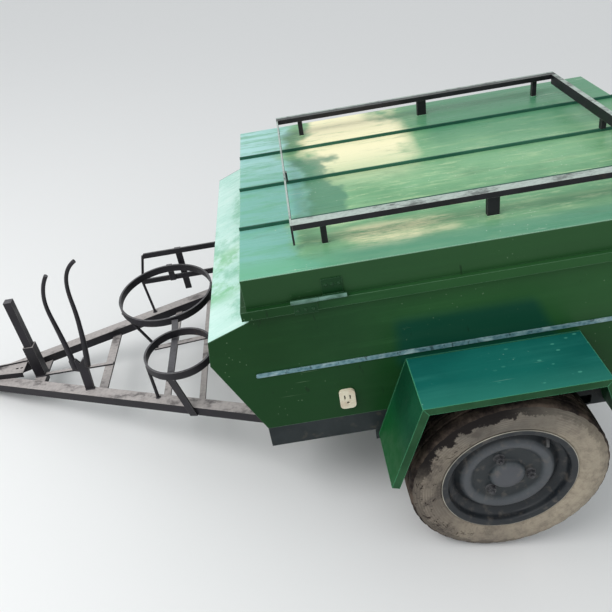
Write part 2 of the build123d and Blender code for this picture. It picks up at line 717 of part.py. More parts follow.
def side_strips():
    """Flat stiffening strips along both sides of the box, round at the front."""
    z0 = RIM_BASE - STRIP_DROP
    half = STRIP_HEIGHT / 2
    x0 = half - RIM_OUT
    outer = HALF_WIDTH + STRIP_THICKNESS
    right = block(x0, LID_LENGTH, HALF_WIDTH, outer, z0 - half, z0 + half)
    right += Pos(x0, outer, z0) * extrude(Plane.XZ * Circle(half), amount=STRIP_THICKNESS)
    return [mirrored(right), right]


def power_socket():
    """Surface socket with rounded corners, two slots and a round hole."""
    z0 = RIM_BASE - SOCKET_DROP
    plate = RectangleRounded(SOCKET_WIDTH, SOCKET_HEIGHT, SOCKET_CORNER)
    body = extrude(Plane.XZ * plate, amount=SOCKET_DEPTH)
    depth = SOCKET_DEPTH / 2
    across = SOCKET_SLOT_SPACING / 2
    holes = [Pos(x, SOCKET_SLOT_RISE) * Rectangle(*SOCKET_SLOT) for x in (-across, across)]
    holes.append(Pos(0, -SOCKET_HOLE_DROP) * Circle(SOCKET_HOLE_RADIUS))
    for hole in holes:
        body -= Pos(0, -depth, 0) * extrude(Plane.XZ * hole, amount=depth)
    return Pos(SOCKET_X, -HALF_WIDTH, z0) * body


def mudguard_plate_right(first):
    """One flat plate of the mudguard with its part of the outer lip."""
    outer = HALF_WIDTH + GUARD_WIDTH
    plate = folded_sheet(GUARD_LINE, first, first + 1, -SHEET, HALF_WIDTH, outer)
    lip = folded_sheet(GUARD_LINE, first, first + 1, -GUARD_LIP, outer - SHEET, outer)
    return plate + lip


def hoop_place(hoop):
    """Location of the centre of a hoop's top edge."""
    x, y, _, rise, tilt = hoop
    return Pos(x, y, BEAM_TOP + rise) * Rot(tilt, 0, 0)


def hoop_band(hoop):
    """Flat bar rolled into a ring."""
    radius = hoop[2]
    ring = Circle(radius) - Circle(radius - HOOP_THICKNESS)
    return hoop_place(hoop) * extrude(ring, amount=-HOOP_BAND)


def in_hoop(hoop, turn, drop):
    """Point in the middle of a hoop's band, this far below its top edge."""
    reach = hoop[2] - HOOP_THICKNESS / 2
    x, y = reach * cos(radians(turn)), reach * sin(radians(turn))
    return (hoop_place(hoop) * Pos(x, y, -drop)).position


def above_band_base(hoop):
    """Space above the plane of a band's lower edge, and a little lower within its bore."""
    reach = 2 * hoop[2]
    space = block(-reach, reach, -reach, reach, -HOOP_BAND, reach)
    space += Pos(0, 0, -HOOP_BAND) * Cylinder(hoop[2] - HOOP_THICKNESS, 2 * BORE_RELIEF)
    return hoop_place(hoop) * space


def bottle_hoop_large():
    """Hoop for the large bottle, on a leaning strut and a bracket to the guard frame."""
    strap_x, strap_y, strap_z = strap_point(STRAP_FRONT)
    foot = (strap_x + STRAP_WIDTH / 2, strap_y, strap_z + STRAP_THICKNESS / 2)
    meet = in_hoop(HOOP_LARGE, LARGE_STRUT_TURN, HOOP_BAND)
    past = (meet - Vector(*foot)).normalized() * HOOP_ROD
    strut = footed_rod(foot, meet + past, HOOP_ROD) - above_band_base(HOOP_LARGE)
    x, _, radius, rise, tilt = HOOP_LARGE
    outer = guard_y() - GUARD_RAIL_THICKNESS / 2
    bracket = block(
        x - GUARD_BRACKET_WIDTH / 2, x + GUARD_BRACKET_WIDTH / 2, outer - HOOP_BAR_THICKNESS, outer,
        BEAM_TOP + GUARD_RAILS[0][0] - GUARD_RAIL_DEPTH, BEAM_TOP + rise + radius * sin(radians(tilt)),
    )
    return hoop_band(HOOP_LARGE) + strut + bracket


def bottle_hoop_small():
    """Hoop for the small bottle, on an upright rod, a leaning flat bar and the link to the large hoop."""
    above = above_band_base(HOOP_SMALL)
    top = in_hoop(HOOP_SMALL, SMALL_ROD_TURN, HOOP_BAND / 2)
    rod = rod_between((top.X, top.Y, BEAM_TOP), (top.X, top.Y, top.Z), HOOP_ROD) - above
    top = in_hoop(HOOP_SMALL, SMALL_BAR_TURN, HOOP_BAND / 2)
    foot_x = top.X + SMALL_BAR_LEAN
    off_beam = BEAM_WIDTH + HOOP_BAR_THICKNESS / 2 + WELD_GAP
    foot_y = -(beam_inner(foot_x) + off_beam / cos(BEAM_ANGLE))
    bar = bar_between(
        (foot_x, foot_y, CHASSIS_BASE), (top.X, top.Y, top.Z),
        HOOP_BAR_WIDTH, HOOP_BAR_THICKNESS, (BEAM_MEET, -BEAM_SPREAD, 0),
    )
    return hoop_band(HOOP_SMALL) + rod + (bar - above) + hoop_link()


def hoop_link():
    """Flat bar under the small hoop's band that rises to the large hoop's near side."""
    reach = sqrt((HOOP_SMALL[2] - HOOP_THICKNESS / 2) ** 2 - LINK_SHIFT ** 2)
    level = hoop_place(HOOP_SMALL) * block(
        LINK_SHIFT - LINK_WIDTH / 2, LINK_SHIFT + LINK_WIDTH / 2, -reach, reach,
        -HOOP_BAND - LINK_THICKNESS, -HOOP_BAND,
    )
    shift = HOOP_SMALL[0] + LINK_SHIFT - HOOP_LARGE[0]
    near = sqrt(HOOP_LARGE[2] ** 2 - shift ** 2)
    low = (hoop_place(HOOP_SMALL) * Pos(LINK_SHIFT, reach, -HOOP_BAND - LINK_THICKNESS / 2)).position
    high = (hoop_place(HOOP_LARGE) * Pos(shift, -near, -HOOP_BAND / 2)).position
    rising = bar_between(
        (low.X, low.Y, low.Z), (high.X, high.Y, high.Z), LINK_WIDTH, LINK_THICKNESS, (1, 0, 0),
    )
    clear = Cylinder(HOOP_LARGE[2] + WELD_GAP, BEAM_TOP)
    return level - above_band_base(HOOP_SMALL) + rising - hoop_place(HOOP_LARGE) * clear


def nose_under_x(z):
    """x of the nose's underside at a height."""
    (x0, z0), (x1, z1) = TUB_LINE[3], TUB_LINE[4]
    return x0 + (x1 - x0) * (z - z0) / (z1 - z0)


def guard_y():
    """Middle of the guard rails' thickness, a bracket's thickness off the large hoop's far side."""
    _, y, radius, _, tilt = HOOP_LARGE
    hoop_side = y + radius * cos(radians(tilt)) + HOOP_BAND * sin(radians(tilt))
    return hoop_side - GUARD_BRACKET_LAP + HOOP_BAR_THICKNESS + GUARD_RAIL_THICKNESS / 2


def bottle_guard():
    """Two rails from the nose's underside, tied by a post and by a bent rod down to the right beam."""
    middle = guard_y()
    half = GUARD_RAIL_THICKNESS / 2
    frame = None
    bends = []
    for height, ahead in GUARD_RAILS:
        front = CHASSIS_FRONT - ahead
        z1 = BEAM_TOP + height
        z0 = z1 - GUARD_RAIL_DEPTH
        outline = (
            (front, z0), (nose_under_x(z0), z0), (nose_under_x(z1), z1),
            (front + GUARD_RAIL_CORNER, z1), (front, z1 - GUARD_RAIL_CORNER),
        )
        rail = side_profile(outline, middle - half, middle + half)
        frame = rail if frame is None else frame + rail
        bends.append((front, middle, (z0 + z1) / 2))
    low, high = bends
    ahead, inset = GUARD_ROD_FOOT
    foot_x = CHASSIS_FRONT - ahead
    foot = (foot_x, beam_inner(foot_x) + BEAM_SPAN_Y - inset, BEAM_TOP)
    frame += rod_between(low, high, GUARD_ROD_RADIUS) + footed_rod(foot, low, GUARD_ROD_RADIUS)
    for bend in bends:
        frame += Pos(*bend) * Sphere(GUARD_ROD_RADIUS)
    top = BEAM_TOP + GUARD_RAILS[1][0]
    frame += block(
        GUARD_POST_X - GUARD_POST_WIDTH / 2, GUARD_POST_X + GUARD_POST_WIDTH / 2,
        middle + half, middle + half + HOOP_BAR_THICKNESS, top - GUARD_POST_LENGTH, top,
    )
    return frame


def tine(points):
    """Round tine along a smooth curve, thinner toward its tip."""
    path = Spline(*[(FORK_FOOT_X + x, FORK_FOOT_Y, BEAM_TOP + z) for x, z in points])
    last = len(FORK_TINE_RADII) - 1
    sections = []
    for index, radius in enumerate(FORK_TINE_RADII):
        along = index / last
        sections.append(Plane(origin=path @ along, z_dir=path % along) * Circle(radius))
    return sweep(sections, path=path, multisection=True)


def carrier_fork():
    """Notched plate on the left beam with two bent tines."""
    half = FORK_PLATE_THICKNESS / 2
    outline = [(FORK_FOOT_X + x, BEAM_TOP + z) for x, z in FORK_PLATE]
    plate = side_profile(outline, FORK_FOOT_Y - half, FORK_FOOT_Y + half)
    return plate + tine(FORK_REAR) + tine(FORK_FRONT)


def barrel(x0, x1, bore):
    """Hinge barrel along x, with a bore where it turns on the pin."""
    section = Circle(HINGE_BARREL_RADIUS)
    if bore:
        section -= Circle(bore)
    return Pos(x0, HINGE_Y, HINGE_Z) * extrude(Plane.YZ * section, amount=x1 - x0)


def hinge_lower_leaves():
    """Fixed hinge halves on the rim's skirt, each with its pin."""
    start, length, height = LOWER_LEAF
    leaves = []
    for x in HINGE_X:
        plate = block(
            x + start, x + start + length, HINGE_Y - LEAF_PLATE_THICKNESS, HINGE_Y,
            HINGE_Z - height, HINGE_Z,
        )
        half = barrel(x - HINGE_HALF, x, 0)
        pin = Pos(x, HINGE_Y, HINGE_Z) * extrude(Plane.YZ * Circle(HINGE_PIN_RADIUS), amount=HINGE_HALF)
        leaves.append(plate + half + pin)
    return leaves


def hinge_upper_leaves():
    """Moving hinge halves, each with a plate on the lid's side and a foot out to its barrel."""
    start, length, height = UPPER_LEAF
    half = LEAF_PLATE_THICKNESS / 2
    wall = -HALF_WIDTH
    leaves = []
    for x in HINGE_X:
        x0 = x + start
        x1 = x0 + length
        plate = block(x0, x1, wall - LEAF_PLATE_THICKNESS, wall, HINGE_Z, HINGE_Z + height)
        foot = block(x0, x1, HINGE_Y, wall, HINGE_Z - half, HINGE_Z + half)
        knuckle = barrel(x + HINGE_PART_GAP, x + HINGE_HALF, HINGE_BORE)
        bore = Pos(x, HINGE_Y, HINGE_Z) * extrude(Plane.YZ * Circle(HINGE_BORE), amount=HINGE_HALF)
        leaves.append(plate + foot + knuckle - bore)
    return leaves


def lock_tab(inner, z0, z1, bore_z):
    """Flat tab with a padlock bore, its inner face at the given y."""
    x = LID_LENGTH / 2
    tab = block(x - TAB_WIDTH / 2, x + TAB_WIDTH / 2, inner, inner + TAB_THICKNESS, z0, z1)
    bore = extrude(Plane.XZ * Circle(TAB_BORE), amount=LID_WIDTH, both=True)
    return tab - Pos(x, 0, bore_z) * bore


def lock_tab_body():
    """Tab on the rim's skirt at the right side."""
    skirt = HALF_WIDTH + RIM_OUT
    return lock_tab(skirt, RIM_TOP - TAB_DROP, RIM_TOP, RIM_TOP - TAB_DROP / 2 - TAB_BORE)


def lock_tab_lid():
    """Tab on the lid that hangs outside the rim's tab."""
    inner = HALF_WIDTH + RIM_OUT + TAB_THICKNESS + TAB_GAP
    tab = lock_tab(inner, RIM_TOP - TAB_DROP, RIM_TOP + TAB_DROP / 2, RIM_TOP - TAB_DROP / 2 - TAB_BORE)
    x = LID_LENGTH / 2
    z1 = RIM_TOP + TAB_DROP / 2
    return tab + block(x - TAB_WIDTH / 2, x + TAB_WIDTH / 2, HALF_WIDTH, inner, z1 - TAB_THICKNESS, z1)


def lid_top():
    """Flat lid sheet."""
    return block(0, LID_LENGTH, -HALF_WIDTH, HALF_WIDTH, LID_TOP - SHEET, LID_TOP)


def lid_seams():
    """Three standing seams along the lid."""
    seams = []
    for step in (-1, 0, 1):
        y = step * SEAM_SPACING
        seams.append(block(
            0, LID_LENGTH, y - SEAM_WIDTH / 2, y + SEAM_WIDTH / 2, LID_TOP, LID_TOP + SEAM_HEIGHT,
        ))
    return seams


def lid_sides():
    """Both long walls of the lid."""
    right = block(0, LID_LENGTH, SIDE_INNER, HALF_WIDTH, LID_BASE, LID_TOP - SHEET)
    return [mirrored(right), right]


def lid_ends():
    """Front and rear walls of the lid, between its long walls."""
    front = block(0, SHEET, -SIDE_INNER, SIDE_INNER, LID_BASE, LID_TOP - SHEET)
    return [front, Pos(LID_LENGTH - SHEET, 0, 0) * front]


def rack_rail_right():
    """Side rail of the rack, a flat-laid box section."""
    outer = RACK_WIDTH / 2
    return block(
        RACK_FRONT, RACK_FRONT + RACK_LENGTH, outer - RACK_RAIL_WIDTH, outer, RACK_RAIL_Z, RACK_TOP,
    )


def rack_posts():
    """Posts under the side rails, and one on the centre seam at each end."""
    posts = []
    middle = RACK_WIDTH / 2 - RACK_RAIL_WIDTH / 2
    for side in (-1, 1):
        for ahead, width in RACK_POSTS:
            x = RACK_FRONT + ahead
            y = side * middle
            posts.append(block(
                x, x + width, y - RACK_POST_DEPTH / 2, y + RACK_POST_DEPTH / 2, LID_TOP, RACK_RAIL_Z,
            ))
    seam_top = LID_TOP + SEAM_HEIGHT
    bar_base = RACK_TOP - RACK_STRAP_HEIGHT
    rear = RACK_FRONT + RACK_LENGTH
    for x0, x1 in ((RACK_FRONT, RACK_FRONT + RACK_STRAP_THICKNESS), (rear - RACK_POST_DEPTH, rear)):
        posts.append(block(x0, x1, -RACK_POST_DEPTH / 2, RACK_POST_DEPTH / 2, seam_top, bar_base))
    return posts


def rack_end_bars():
    """Thin strap across the rack's front and a deeper bar across its rear."""
    half = RACK_WIDTH / 2
    rear = RACK_FRONT + RACK_LENGTH
    base = RACK_TOP - RACK_STRAP_HEIGHT
    strap_x = RACK_FRONT - RACK_STRAP_THICKNESS
    strap = block(strap_x, RACK_FRONT, -half, half, base, RACK_TOP)
    tab = block(strap_x, RACK_FRONT, half - RACK_TAB_WIDTH, half, base - RACK_TAB_HEIGHT, base)
    strap += tab + mirrored(tab)
    reach = half - RACK_RAIL_WIDTH
    bar = block(rear - RACK_RAIL_HEIGHT, rear, -reach, reach, base, RACK_TOP)
    return [strap, bar]


def tail_lamps():
    """Lamps on the rear panel."""
    depth, width, height = LAMP_SIZE
    y1 = HALF_WIDTH - LAMP_INSET
    z0 = FLOOR_Z + LAMP_RISE
    right = block(LID_LENGTH, LID_LENGTH + depth, y1 - width, y1, z0, z0 + height)
    return [mirrored(right), right]


def trailer():
    """Every sub-part by node name, in the level frame; a list holds pieces that don't touch."""
    nodes = {
        "chassis_front_crossmember": crossmember(CHASSIS_FRONT, CROSSMEMBER_WIDTH),
        "chassis_rear_crossmember": crossmember(LID_LENGTH - CROSSMEMBER_WIDTH, CROSSMEMBER_WIDTH),
        "chassis_mid_crossmembers": [crossmember(x, CROSSMEMBER_WIDTH) for x in MID_CROSSMEMBERS_X],
        "drawbar_crossbars": drawbar_crossbars(),
        "bottle_strap": bottle_strap(),
        "leg_brace": leg_brace(),
        "coupling_head": coupling_head(),
        "leg_sleeve": leg_sleeve(),
        "prop_leg": prop_leg(),
        "axle_beam": axle_beam(),
        "spring_hangers": spring_hangers(),
        "nose_header_panel": tub_sheet(0, 1),
        "nose_top_panel": tub_sheet(1, 2),
        "nose_face_panel": tub_sheet(2, 3),
        "nose_under_panel": tub_sheet(3, 4),
        "floor_panel": tub_sheet(4, 5),
        "rear_panel": tub_sheet(5, 6),
        "rim_sides": rim_sides(),
        "rim_ends": rim_ends(),
        "side_strips": side_strips(),
        "power_socket": power_socket(),
        "bottle_hoop_large": bottle_hoop_large(),
        "bottle_hoop_small": bottle_hoop_small(),
        "bottle_guard": bottle_guard(),
        "carrier_fork": carrier_fork(),
        "hinge_lower_leaves": hinge_lower_leaves(),
        "hinge_upper_leaves": hinge_upper_leaves(),
        "lock_tab_body": lock_tab_body(),
        "lock_tab_lid": lock_tab_lid(),
        "lid_top": lid_top(),
        "lid_seams": lid_seams(),
        "lid_sides": lid_sides(),
        "lid_ends": lid_ends(),
        "rack_posts": rack_posts(),
        "rack_end_bars": rack_end_bars(),
        "tail_lamps": tail_lamps(),
    }
    pairs = {
        "chassis_rail": chassis_rail_right(),
        "drawbar_beam": drawbar_beam_right(),
        "leaf_spring": leaf_spring_right(),
        "hub": hub_right(),
        "wheel_disc": wheel_disc_right(),
        "tyre": tyre_right(),
        "side_panel": side_panel_right(),
        "mudguard_front": mudguard_plate_right(0),
        "mudguard_top": mudguard_plate_right(1),
        "mudguard_rear": mudguard_plate_right(2),
        "rack_rail": rack_rail_right(),
    }
    for name, right in pairs.items():
        nodes[name + "_right"] = right
        nodes[name + "_left"] = mirrored(right)
    return nodes


def parking_pitch():
    """Nose-down angle that brings the coupling cup's front lip to the tyres' ground."""
    ahead = AXLE_X - (CUP_X - CUP_RADIUS)
    below = AXLE_Z - CUP_LIP_Z
    return degrees(asin(TYRE_RADIUS / hypot(ahead, below)) - atan2(below, ahead))


def pieces(shape):
    """The separate solids of a node."""
    parts = shape if isinstance(shape, list) else [shape]
    return [solid for part in parts for solid in part.solids()]


def parking_place(nodes):
    """Location that pitches the level trailer and centres its outer box on the origin."""
    pitch = Pos(AXLE_X, 0, AXLE_Z) * Rot(0, -parking_pitch(), 0) * Pos(-AXLE_X, 0, -AXLE_Z)
    boxes = [(pitch * solid).bounding_box() for shape in nodes.values() for solid in pieces(shape)]
    low_x = min(box.min.X for box in boxes)
    high_x = max(box.max.X for box in boxes)
    return Pos(-(low_x + high_x) / 2, 0, 0) * pitch


os.makedirs("parts", exist_ok=True)
level_trailer = trailer()
place = parking_place(level_trailer)
for node, shape in level_trailer.items():
    export_step(Compound(children=[place * solid for solid in pieces(shape)]), "parts/" + node + ".step")
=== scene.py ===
"""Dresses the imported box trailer: paint, wheels with tyres, nuts, screws, weld beads, floor and light.

Sizes are read in the trailer's own level frame, in millimetres, as the CAD draws it: x rearward
from the lid's front edge, y to the trailer's right, z up. level() puts such a point into the
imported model's frame, in metres. Shaders see the level frame in metres.
"""
import json
import math

import bpy
from mathutils import Matrix, Vector

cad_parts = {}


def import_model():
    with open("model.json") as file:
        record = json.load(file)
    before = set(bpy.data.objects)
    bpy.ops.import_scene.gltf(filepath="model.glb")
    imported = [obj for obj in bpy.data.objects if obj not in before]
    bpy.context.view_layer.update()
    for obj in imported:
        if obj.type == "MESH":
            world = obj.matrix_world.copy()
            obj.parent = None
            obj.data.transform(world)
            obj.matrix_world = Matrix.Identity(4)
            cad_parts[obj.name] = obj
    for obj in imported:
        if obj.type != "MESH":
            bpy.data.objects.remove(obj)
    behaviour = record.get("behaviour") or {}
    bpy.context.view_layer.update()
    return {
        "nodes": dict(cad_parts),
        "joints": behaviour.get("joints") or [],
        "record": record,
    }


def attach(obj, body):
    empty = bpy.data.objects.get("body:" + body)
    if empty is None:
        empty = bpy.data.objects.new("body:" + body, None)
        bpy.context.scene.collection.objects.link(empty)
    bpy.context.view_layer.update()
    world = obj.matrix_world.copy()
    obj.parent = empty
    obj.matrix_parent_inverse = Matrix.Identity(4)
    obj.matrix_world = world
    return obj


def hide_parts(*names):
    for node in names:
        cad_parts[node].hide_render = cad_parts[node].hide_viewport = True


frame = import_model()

nodes = frame["nodes"]
joints = {joint["name"]: joint for joint in frame["joints"]}

# Level frame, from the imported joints
AXLE = Vector((594.0, 0.0, 267.0))
TRACK_HALF = 600.0
REAR = Vector(joints["lid_hinge"]["axis"]).normalized()
SIDE = Vector((0.0, 1.0, 0.0))
UP = REAR.cross(SIDE)
PITCH = math.atan2(REAR.z, REAR.x)
TURN = Matrix((REAR, SIDE, UP)).transposed()
axle_left = Vector(joints["wheel_left_spin"]["pos_m"])
ORIGIN = Vector((axle_left.x, 0.0, axle_left.z)) - TURN @ (AXLE / 1000)


def level(x, y, z):
    """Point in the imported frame, metres, of a point in the level frame, millimetres."""
    return ORIGIN + TURN @ (Vector((x, y, z)) / 1000)


# Camera
camera_data = bpy.data.cameras.new("camera")
camera_data.lens = 38.76
camera_data.sensor_width = 36.0
camera = bpy.data.objects.new("camera", camera_data)
camera.location = (-0.1848, -1.79853, 1.5614)
camera.rotation_euler = [math.radians(a) for a in (56.536, -4.2111, -4.5848)]
bpy.context.scene.collection.objects.link(camera)
bpy.context.scene.camera = camera
bpy.context.scene.view_settings.view_transform = "Standard"


BEVEL_SAMPLES = 4


class Shader:
    """A Principled material under construction, with the level frame's coordinates at hand."""

    def __init__(self, name, roughness=0.5, metallic=0.0, specular=0.5):
        self.material = bpy.data.materials.new(name)
        self.material.use_nodes = True
        self.tree = self.material.node_tree
        self.bsdf = self.tree.nodes["Principled BSDF"]
        self.bsdf.inputs["Roughness"].default_value = roughness
        self.bsdf.inputs["Metallic"].default_value = metallic
        self.bsdf.inputs["Specular IOR Level"].default_value = specular
        self.coords = self.tree.nodes.new("ShaderNodeTexCoord")
        self.place = self.tree.nodes.new("ShaderNodeMapping")
        self.place.inputs["Rotation"].default_value = (0.0, PITCH, 0.0)
        self.place.inputs["Location"].default_value = -(TURN.transposed() @ ORIGIN)
        self.link(self.coords.outputs["Object"], self.place.inputs["Vector"])
        split = self.tree.nodes.new("ShaderNodeSeparateXYZ")
        self.link(self.place.outputs["Vector"], split.inputs["Vector"])
        self.x, self.y, self.z = (split.outputs[axis] for axis in "XYZ")

    def link(self, out, into):
        """Joins an output to an input."""
        self.tree.links.new(out, into)

    def stretched(self, stretch):
        """Level coordinates multiplied by three factors."""
        mapping = self.tree.nodes.new("ShaderNodeMapping")
        mapping.inputs["Scale"].default_value = stretch
        self.link(self.place.outputs["Vector"], mapping.inputs["Vector"])
        return mapping.outputs["Vector"]

    def noise(self, scale, stretch=(1, 1, 1), detail=4.0, rough=0.55, distortion=0.0):
        """Noise value around 0.5 over the level frame."""
        node = self.tree.nodes.new("ShaderNodeTexNoise")
        node.inputs["Scale"].default_value = scale
        node.inputs["Detail"].default_value = detail
        node.inputs["Roughness"].default_value = rough
        node.inputs["Distortion"].default_value = distortion
        self.link(self.stretched(stretch), node.inputs["Vector"])
        return node.outputs["Fac"]

    def cells(self, scale, stretch=(1, 1, 1)):
        """Distance to the nearest of scattered points, in cell sizes."""
        node = self.tree.nodes.new("ShaderNodeTexVoronoi")
        node.inputs["Scale"].default_value = scale
        self.link(self.stretched(stretch), node.inputs["Vector"])
        return node.outputs["Distance"]

    def ramp(self, value, low, high, out_low=0.0, out_high=1.0):
        """Value taken from low..high to out_low..out_high, clamped, with soft ends."""
        node = self.tree.nodes.new("ShaderNodeMapRange")
        node.interpolation_type = "SMOOTHSTEP"
        node.inputs["From Min"].default_value = low
        node.inputs["From Max"].default_value = high
        node.inputs["To Min"].default_value = out_low
        node.inputs["To Max"].default_value = out_high
        self.link(value, node.inputs["Value"])
        return node.outputs["Result"]

    def band(self, value, low, high, soft, strength=1.0):
        """Strength between low and high, falling to 0 over the soft distance outside them."""
        rise = self.ramp(value, low - soft, low, 0.0, strength)
        return self.math("MULTIPLY", rise, self.ramp(value, high, high + soft, 1.0, 0.0))

    def math(self, kind, *values):
        """Result of one Math operation on numbers and sockets."""
        node = self.tree.nodes.new("ShaderNodeMath")
        node.operation = kind
        for index, value in enumerate(values):
            if isinstance(value, (int, float)):
                node.inputs[index].default_value = value
            else:
                self.link(value, node.inputs[index])
        return node.outputs["Value"]

    def both(self, *factors):
        """Product of several factors."""
        product = factors[0]
        for factor in factors[1:]:
            product = self.math("MULTIPLY", product, factor)
        return product

    def mix(self, factor, a, b):
        """Colour from a to b by a factor; each is a colour or a socket."""
        node = self.tree.nodes.new("ShaderNodeMix")
        node.data_type = "RGBA"
        self.link(factor, node.inputs["Factor"])
        for name, value in (("A", a), ("B", b)):
            socket = [s for s in node.inputs if s.name == name and s.type == "RGBA"][0]
            if isinstance(value, (tuple, list)):
                socket.default_value = (*value, 1.0)
            else:
                self.link(value, socket)
        return [s for s in node.outputs if s.type == "RGBA"][0]

    def facing(self, direction, low, high):
        """How far the surface faces a direction of the level frame, 0 to 1."""
        node = self.tree.nodes.new("ShaderNodeVectorMath")
        node.operation = "DOT_PRODUCT"
        self.link(self.coords.outputs["Normal"], node.inputs[0])
        node.inputs[1].default_value = TURN @ Vector(direction)
        return self.ramp(node.outputs["Value"], low, high)

    def edges(self, radius, strength=1.0):
        """Where the surface turns a corner within the radius, in metres."""
        bevel = self.tree.nodes.new("ShaderNodeBevel")
        bevel.samples = BEVEL_SAMPLES
        bevel.inputs["Radius"].default_value = radius
        geometry = self.tree.nodes.new("ShaderNodeNewGeometry")
        node = self.tree.nodes.new("ShaderNodeVectorMath")
        node.operation = "DOT_PRODUCT"
        self.link(bevel.outputs["Normal"], node.inputs[0])
        self.link(geometry.outputs["Normal"], node.inputs[1])
        return self.ramp(node.outputs["Value"], 0.82, 0.97, strength, 0.0)

    def from_axle(self):
        """Distance from the wheels' axis, metres."""
        across = self.math("SUBTRACT", self.x, AXLE.x / 1000)
        above = self.math("SUBTRACT", self.z, AXLE.z / 1000)
        total = self.math("ADD", self.both(across, across), self.both(above, above))
        return self.math("SQRT", total)

    def colour(self, socket):
        """Sets the base colour."""
        self.link(socket, self.bsdf.inputs["Base Color"])

    def roughness(self, socket):
        """Sets the roughness."""
        self.link(socket, self.bsdf.inputs["Roughness"])

    def relief(self, heights, edge=0.0):
        """Bump from (height socket, strength, distance in metres) steps over rounded edges."""
        normal = None
        if edge:
            bevel = self.tree.nodes.new("ShaderNodeBevel")
            bevel.samples = BEVEL_SAMPLES
            bevel.inputs["Radius"].default_value = edge
            normal = bevel.outputs["Normal"]
        for height, strength, distance in heights:
            bump = self.tree.nodes.new("ShaderNodeBump")
            bump.inputs["Strength"].default_value = strength
            bump.inputs["Distance"].default_value = distance
            self.link(height, bump.inputs["Height"])
            if normal is not None:
                self.link(normal, bump.inputs["Normal"])
            normal = bump.outputs["Normal"]
        self.link(normal, self.bsdf.inputs["Normal"])


def srgb(*values):
    """Linear colour of 0..255 display values."""
    return tuple(
        v / 255 / 12.92 if v / 255 <= 0.04045 else ((v / 255 + 0.055) / 1.055) ** 2.4 for v in values
    )


# Places that the shaders mark, level frame, metres: where each starts and ends
LID_SKIRT = (0.82, 0.84)
BOX_BASE = (0.66, 0.6)
HEADER = (0.786, 0.792)
NOSE_FOOT = (0.69, 0.676)
GUARD_TOP_SHEEN = (0.6, 0.7)
FAR_RAIL = (0.366, 0.389)
BARREL_HEIGHT, BARREL_OUT = (0.829, 0.839), (-0.507, -0.51)
SOCKET_DEPTHS = (-0.5075, -0.506)
LENS_FACE, LENS_HEIGHT, LENS_AMBER = (1.2285, 1.229), (0.512, 0.562), (0.4165, 0.417)

# Distances from the wheels' axis that the shaders mark, metres
CAP, RECESS, SHOULDER = (0.046, 0.034), (0.052, 0.09), (0.103, 0.12)
WELL, RIM_EDGE, SIDEWALL_END = (0.13, 0.178), (0.179, 0.181), (0.236, 0.242)
MUD_RINGS = 900.0   # radians a metre


def enamel(name, base, deep, pale, roughness=0.4):
    """Hand-brushed enamel: a shader and its colour of broad patches and brush streaks along x."""
    s = Shader(name, roughness, specular=0.14)
    patches = s.noise(3.0, detail=6.0, rough=0.6)
    streaks = s.noise(11.0, stretch=(0.3, 3.5, 3.5), detail=5.0)
    grain = s.noise(70.0, stretch=(0.1, 3.0, 3.0), detail=3.0)
    colour = s.mix(s.ramp(patches, 0.36, 0.64), deep, base)
    colour = s.mix(s.ramp(streaks, 0.48, 0.78, 0.0, 0.55), colour, pale)
    colour = s.mix(s.ramp(grain, 0.55, 0.75, 0.0, 0.25), colour, pale)
    s.roughness(s.ramp(streaks, 0.35, 0.75, roughness - 0.08, roughness + 0.12))
    s.relief([(patches, 0.35, 0.004), (streaks, 0.22, 0.0015), (grain, 0.16, 0.0005)], 0.0012)
    return s, colour


def scratched(s, colour, tone, strength):
    """Colour with thin scratches along x and small chips in a tone."""
    lines = s.ramp(s.noise(16.0, stretch=(0.25, 9.0, 9.0), detail=2.0), 0.7, 0.74, 0.0, strength)
    chips = s.ramp(s.cells(60.0), 0.07, 0.1, strength, 0.0)
    where = s.ramp(s.noise(6.0, detail=3.0), 0.5, 0.62)
    return s.mix(s.both(s.math("MAXIMUM", lines, chips), where), colour, tone)


def side_enamel():
    """Dark green of the box's sides: lighter on the lid and toward the rear, with painted shade in its dark
    greens.

    It deepens toward the front and along the base. Above each mudguard it carries a painted teal reflection
    of the mudguard top, edged by a painted shadow.
    """
    # Base greens darkened with painted shade, as on a side turned from the light
    s, colour = enamel("green_side", srgb(31, 75, 38), srgb(22, 64, 31), srgb(46, 90, 51))
    colour = s.mix(s.ramp(s.x, 0.1, 0.7, 0.0, 0.6), colour, srgb(46, 92, 48))
    colour = s.mix(s.ramp(s.x, 0.3, 0.0, 0.0, 0.75), colour, srgb(14, 54, 18))
    colour = s.mix(s.ramp(s.z, *LID_SKIRT, 0.0, 0.55), colour, srgb(44, 78, 46))
    colour = s.mix(s.ramp(s.z, *BOX_BASE, 0.0, 0.6), colour, srgb(16, 60, 24))
    # Painted teal reflection of the mudguard top above each mudguard, with a slanted painted shadow edge
    slant = s.math("ADD", s.x, s.both(s.z, s.ramp(s.x, 0.5, 0.7, 0.0, 0.5)))
    guard_reflection_and_shadow = s.both(s.band(slant, 0.37, 1.04, 0.04), s.band(s.z, 0.60, 0.70, 0.045, 0.8))
    colour = s.mix(guard_reflection_and_shadow, colour, srgb(8, 62, 50))
    runs = s.ramp(s.noise(22.0, stretch=(2.5, 2.5, 0.6), detail=2.0), 0.7, 0.76, 0.0, 0.6)
    colour = s.mix(runs, colour, srgb(16, 38, 20))
    colour = scratched(s, colour, srgb(122, 150, 118), 0.6)
    s.colour(s.mix(s.edges(0.0022, 0.55), colour, srgb(130, 168, 138)))
    return s.material


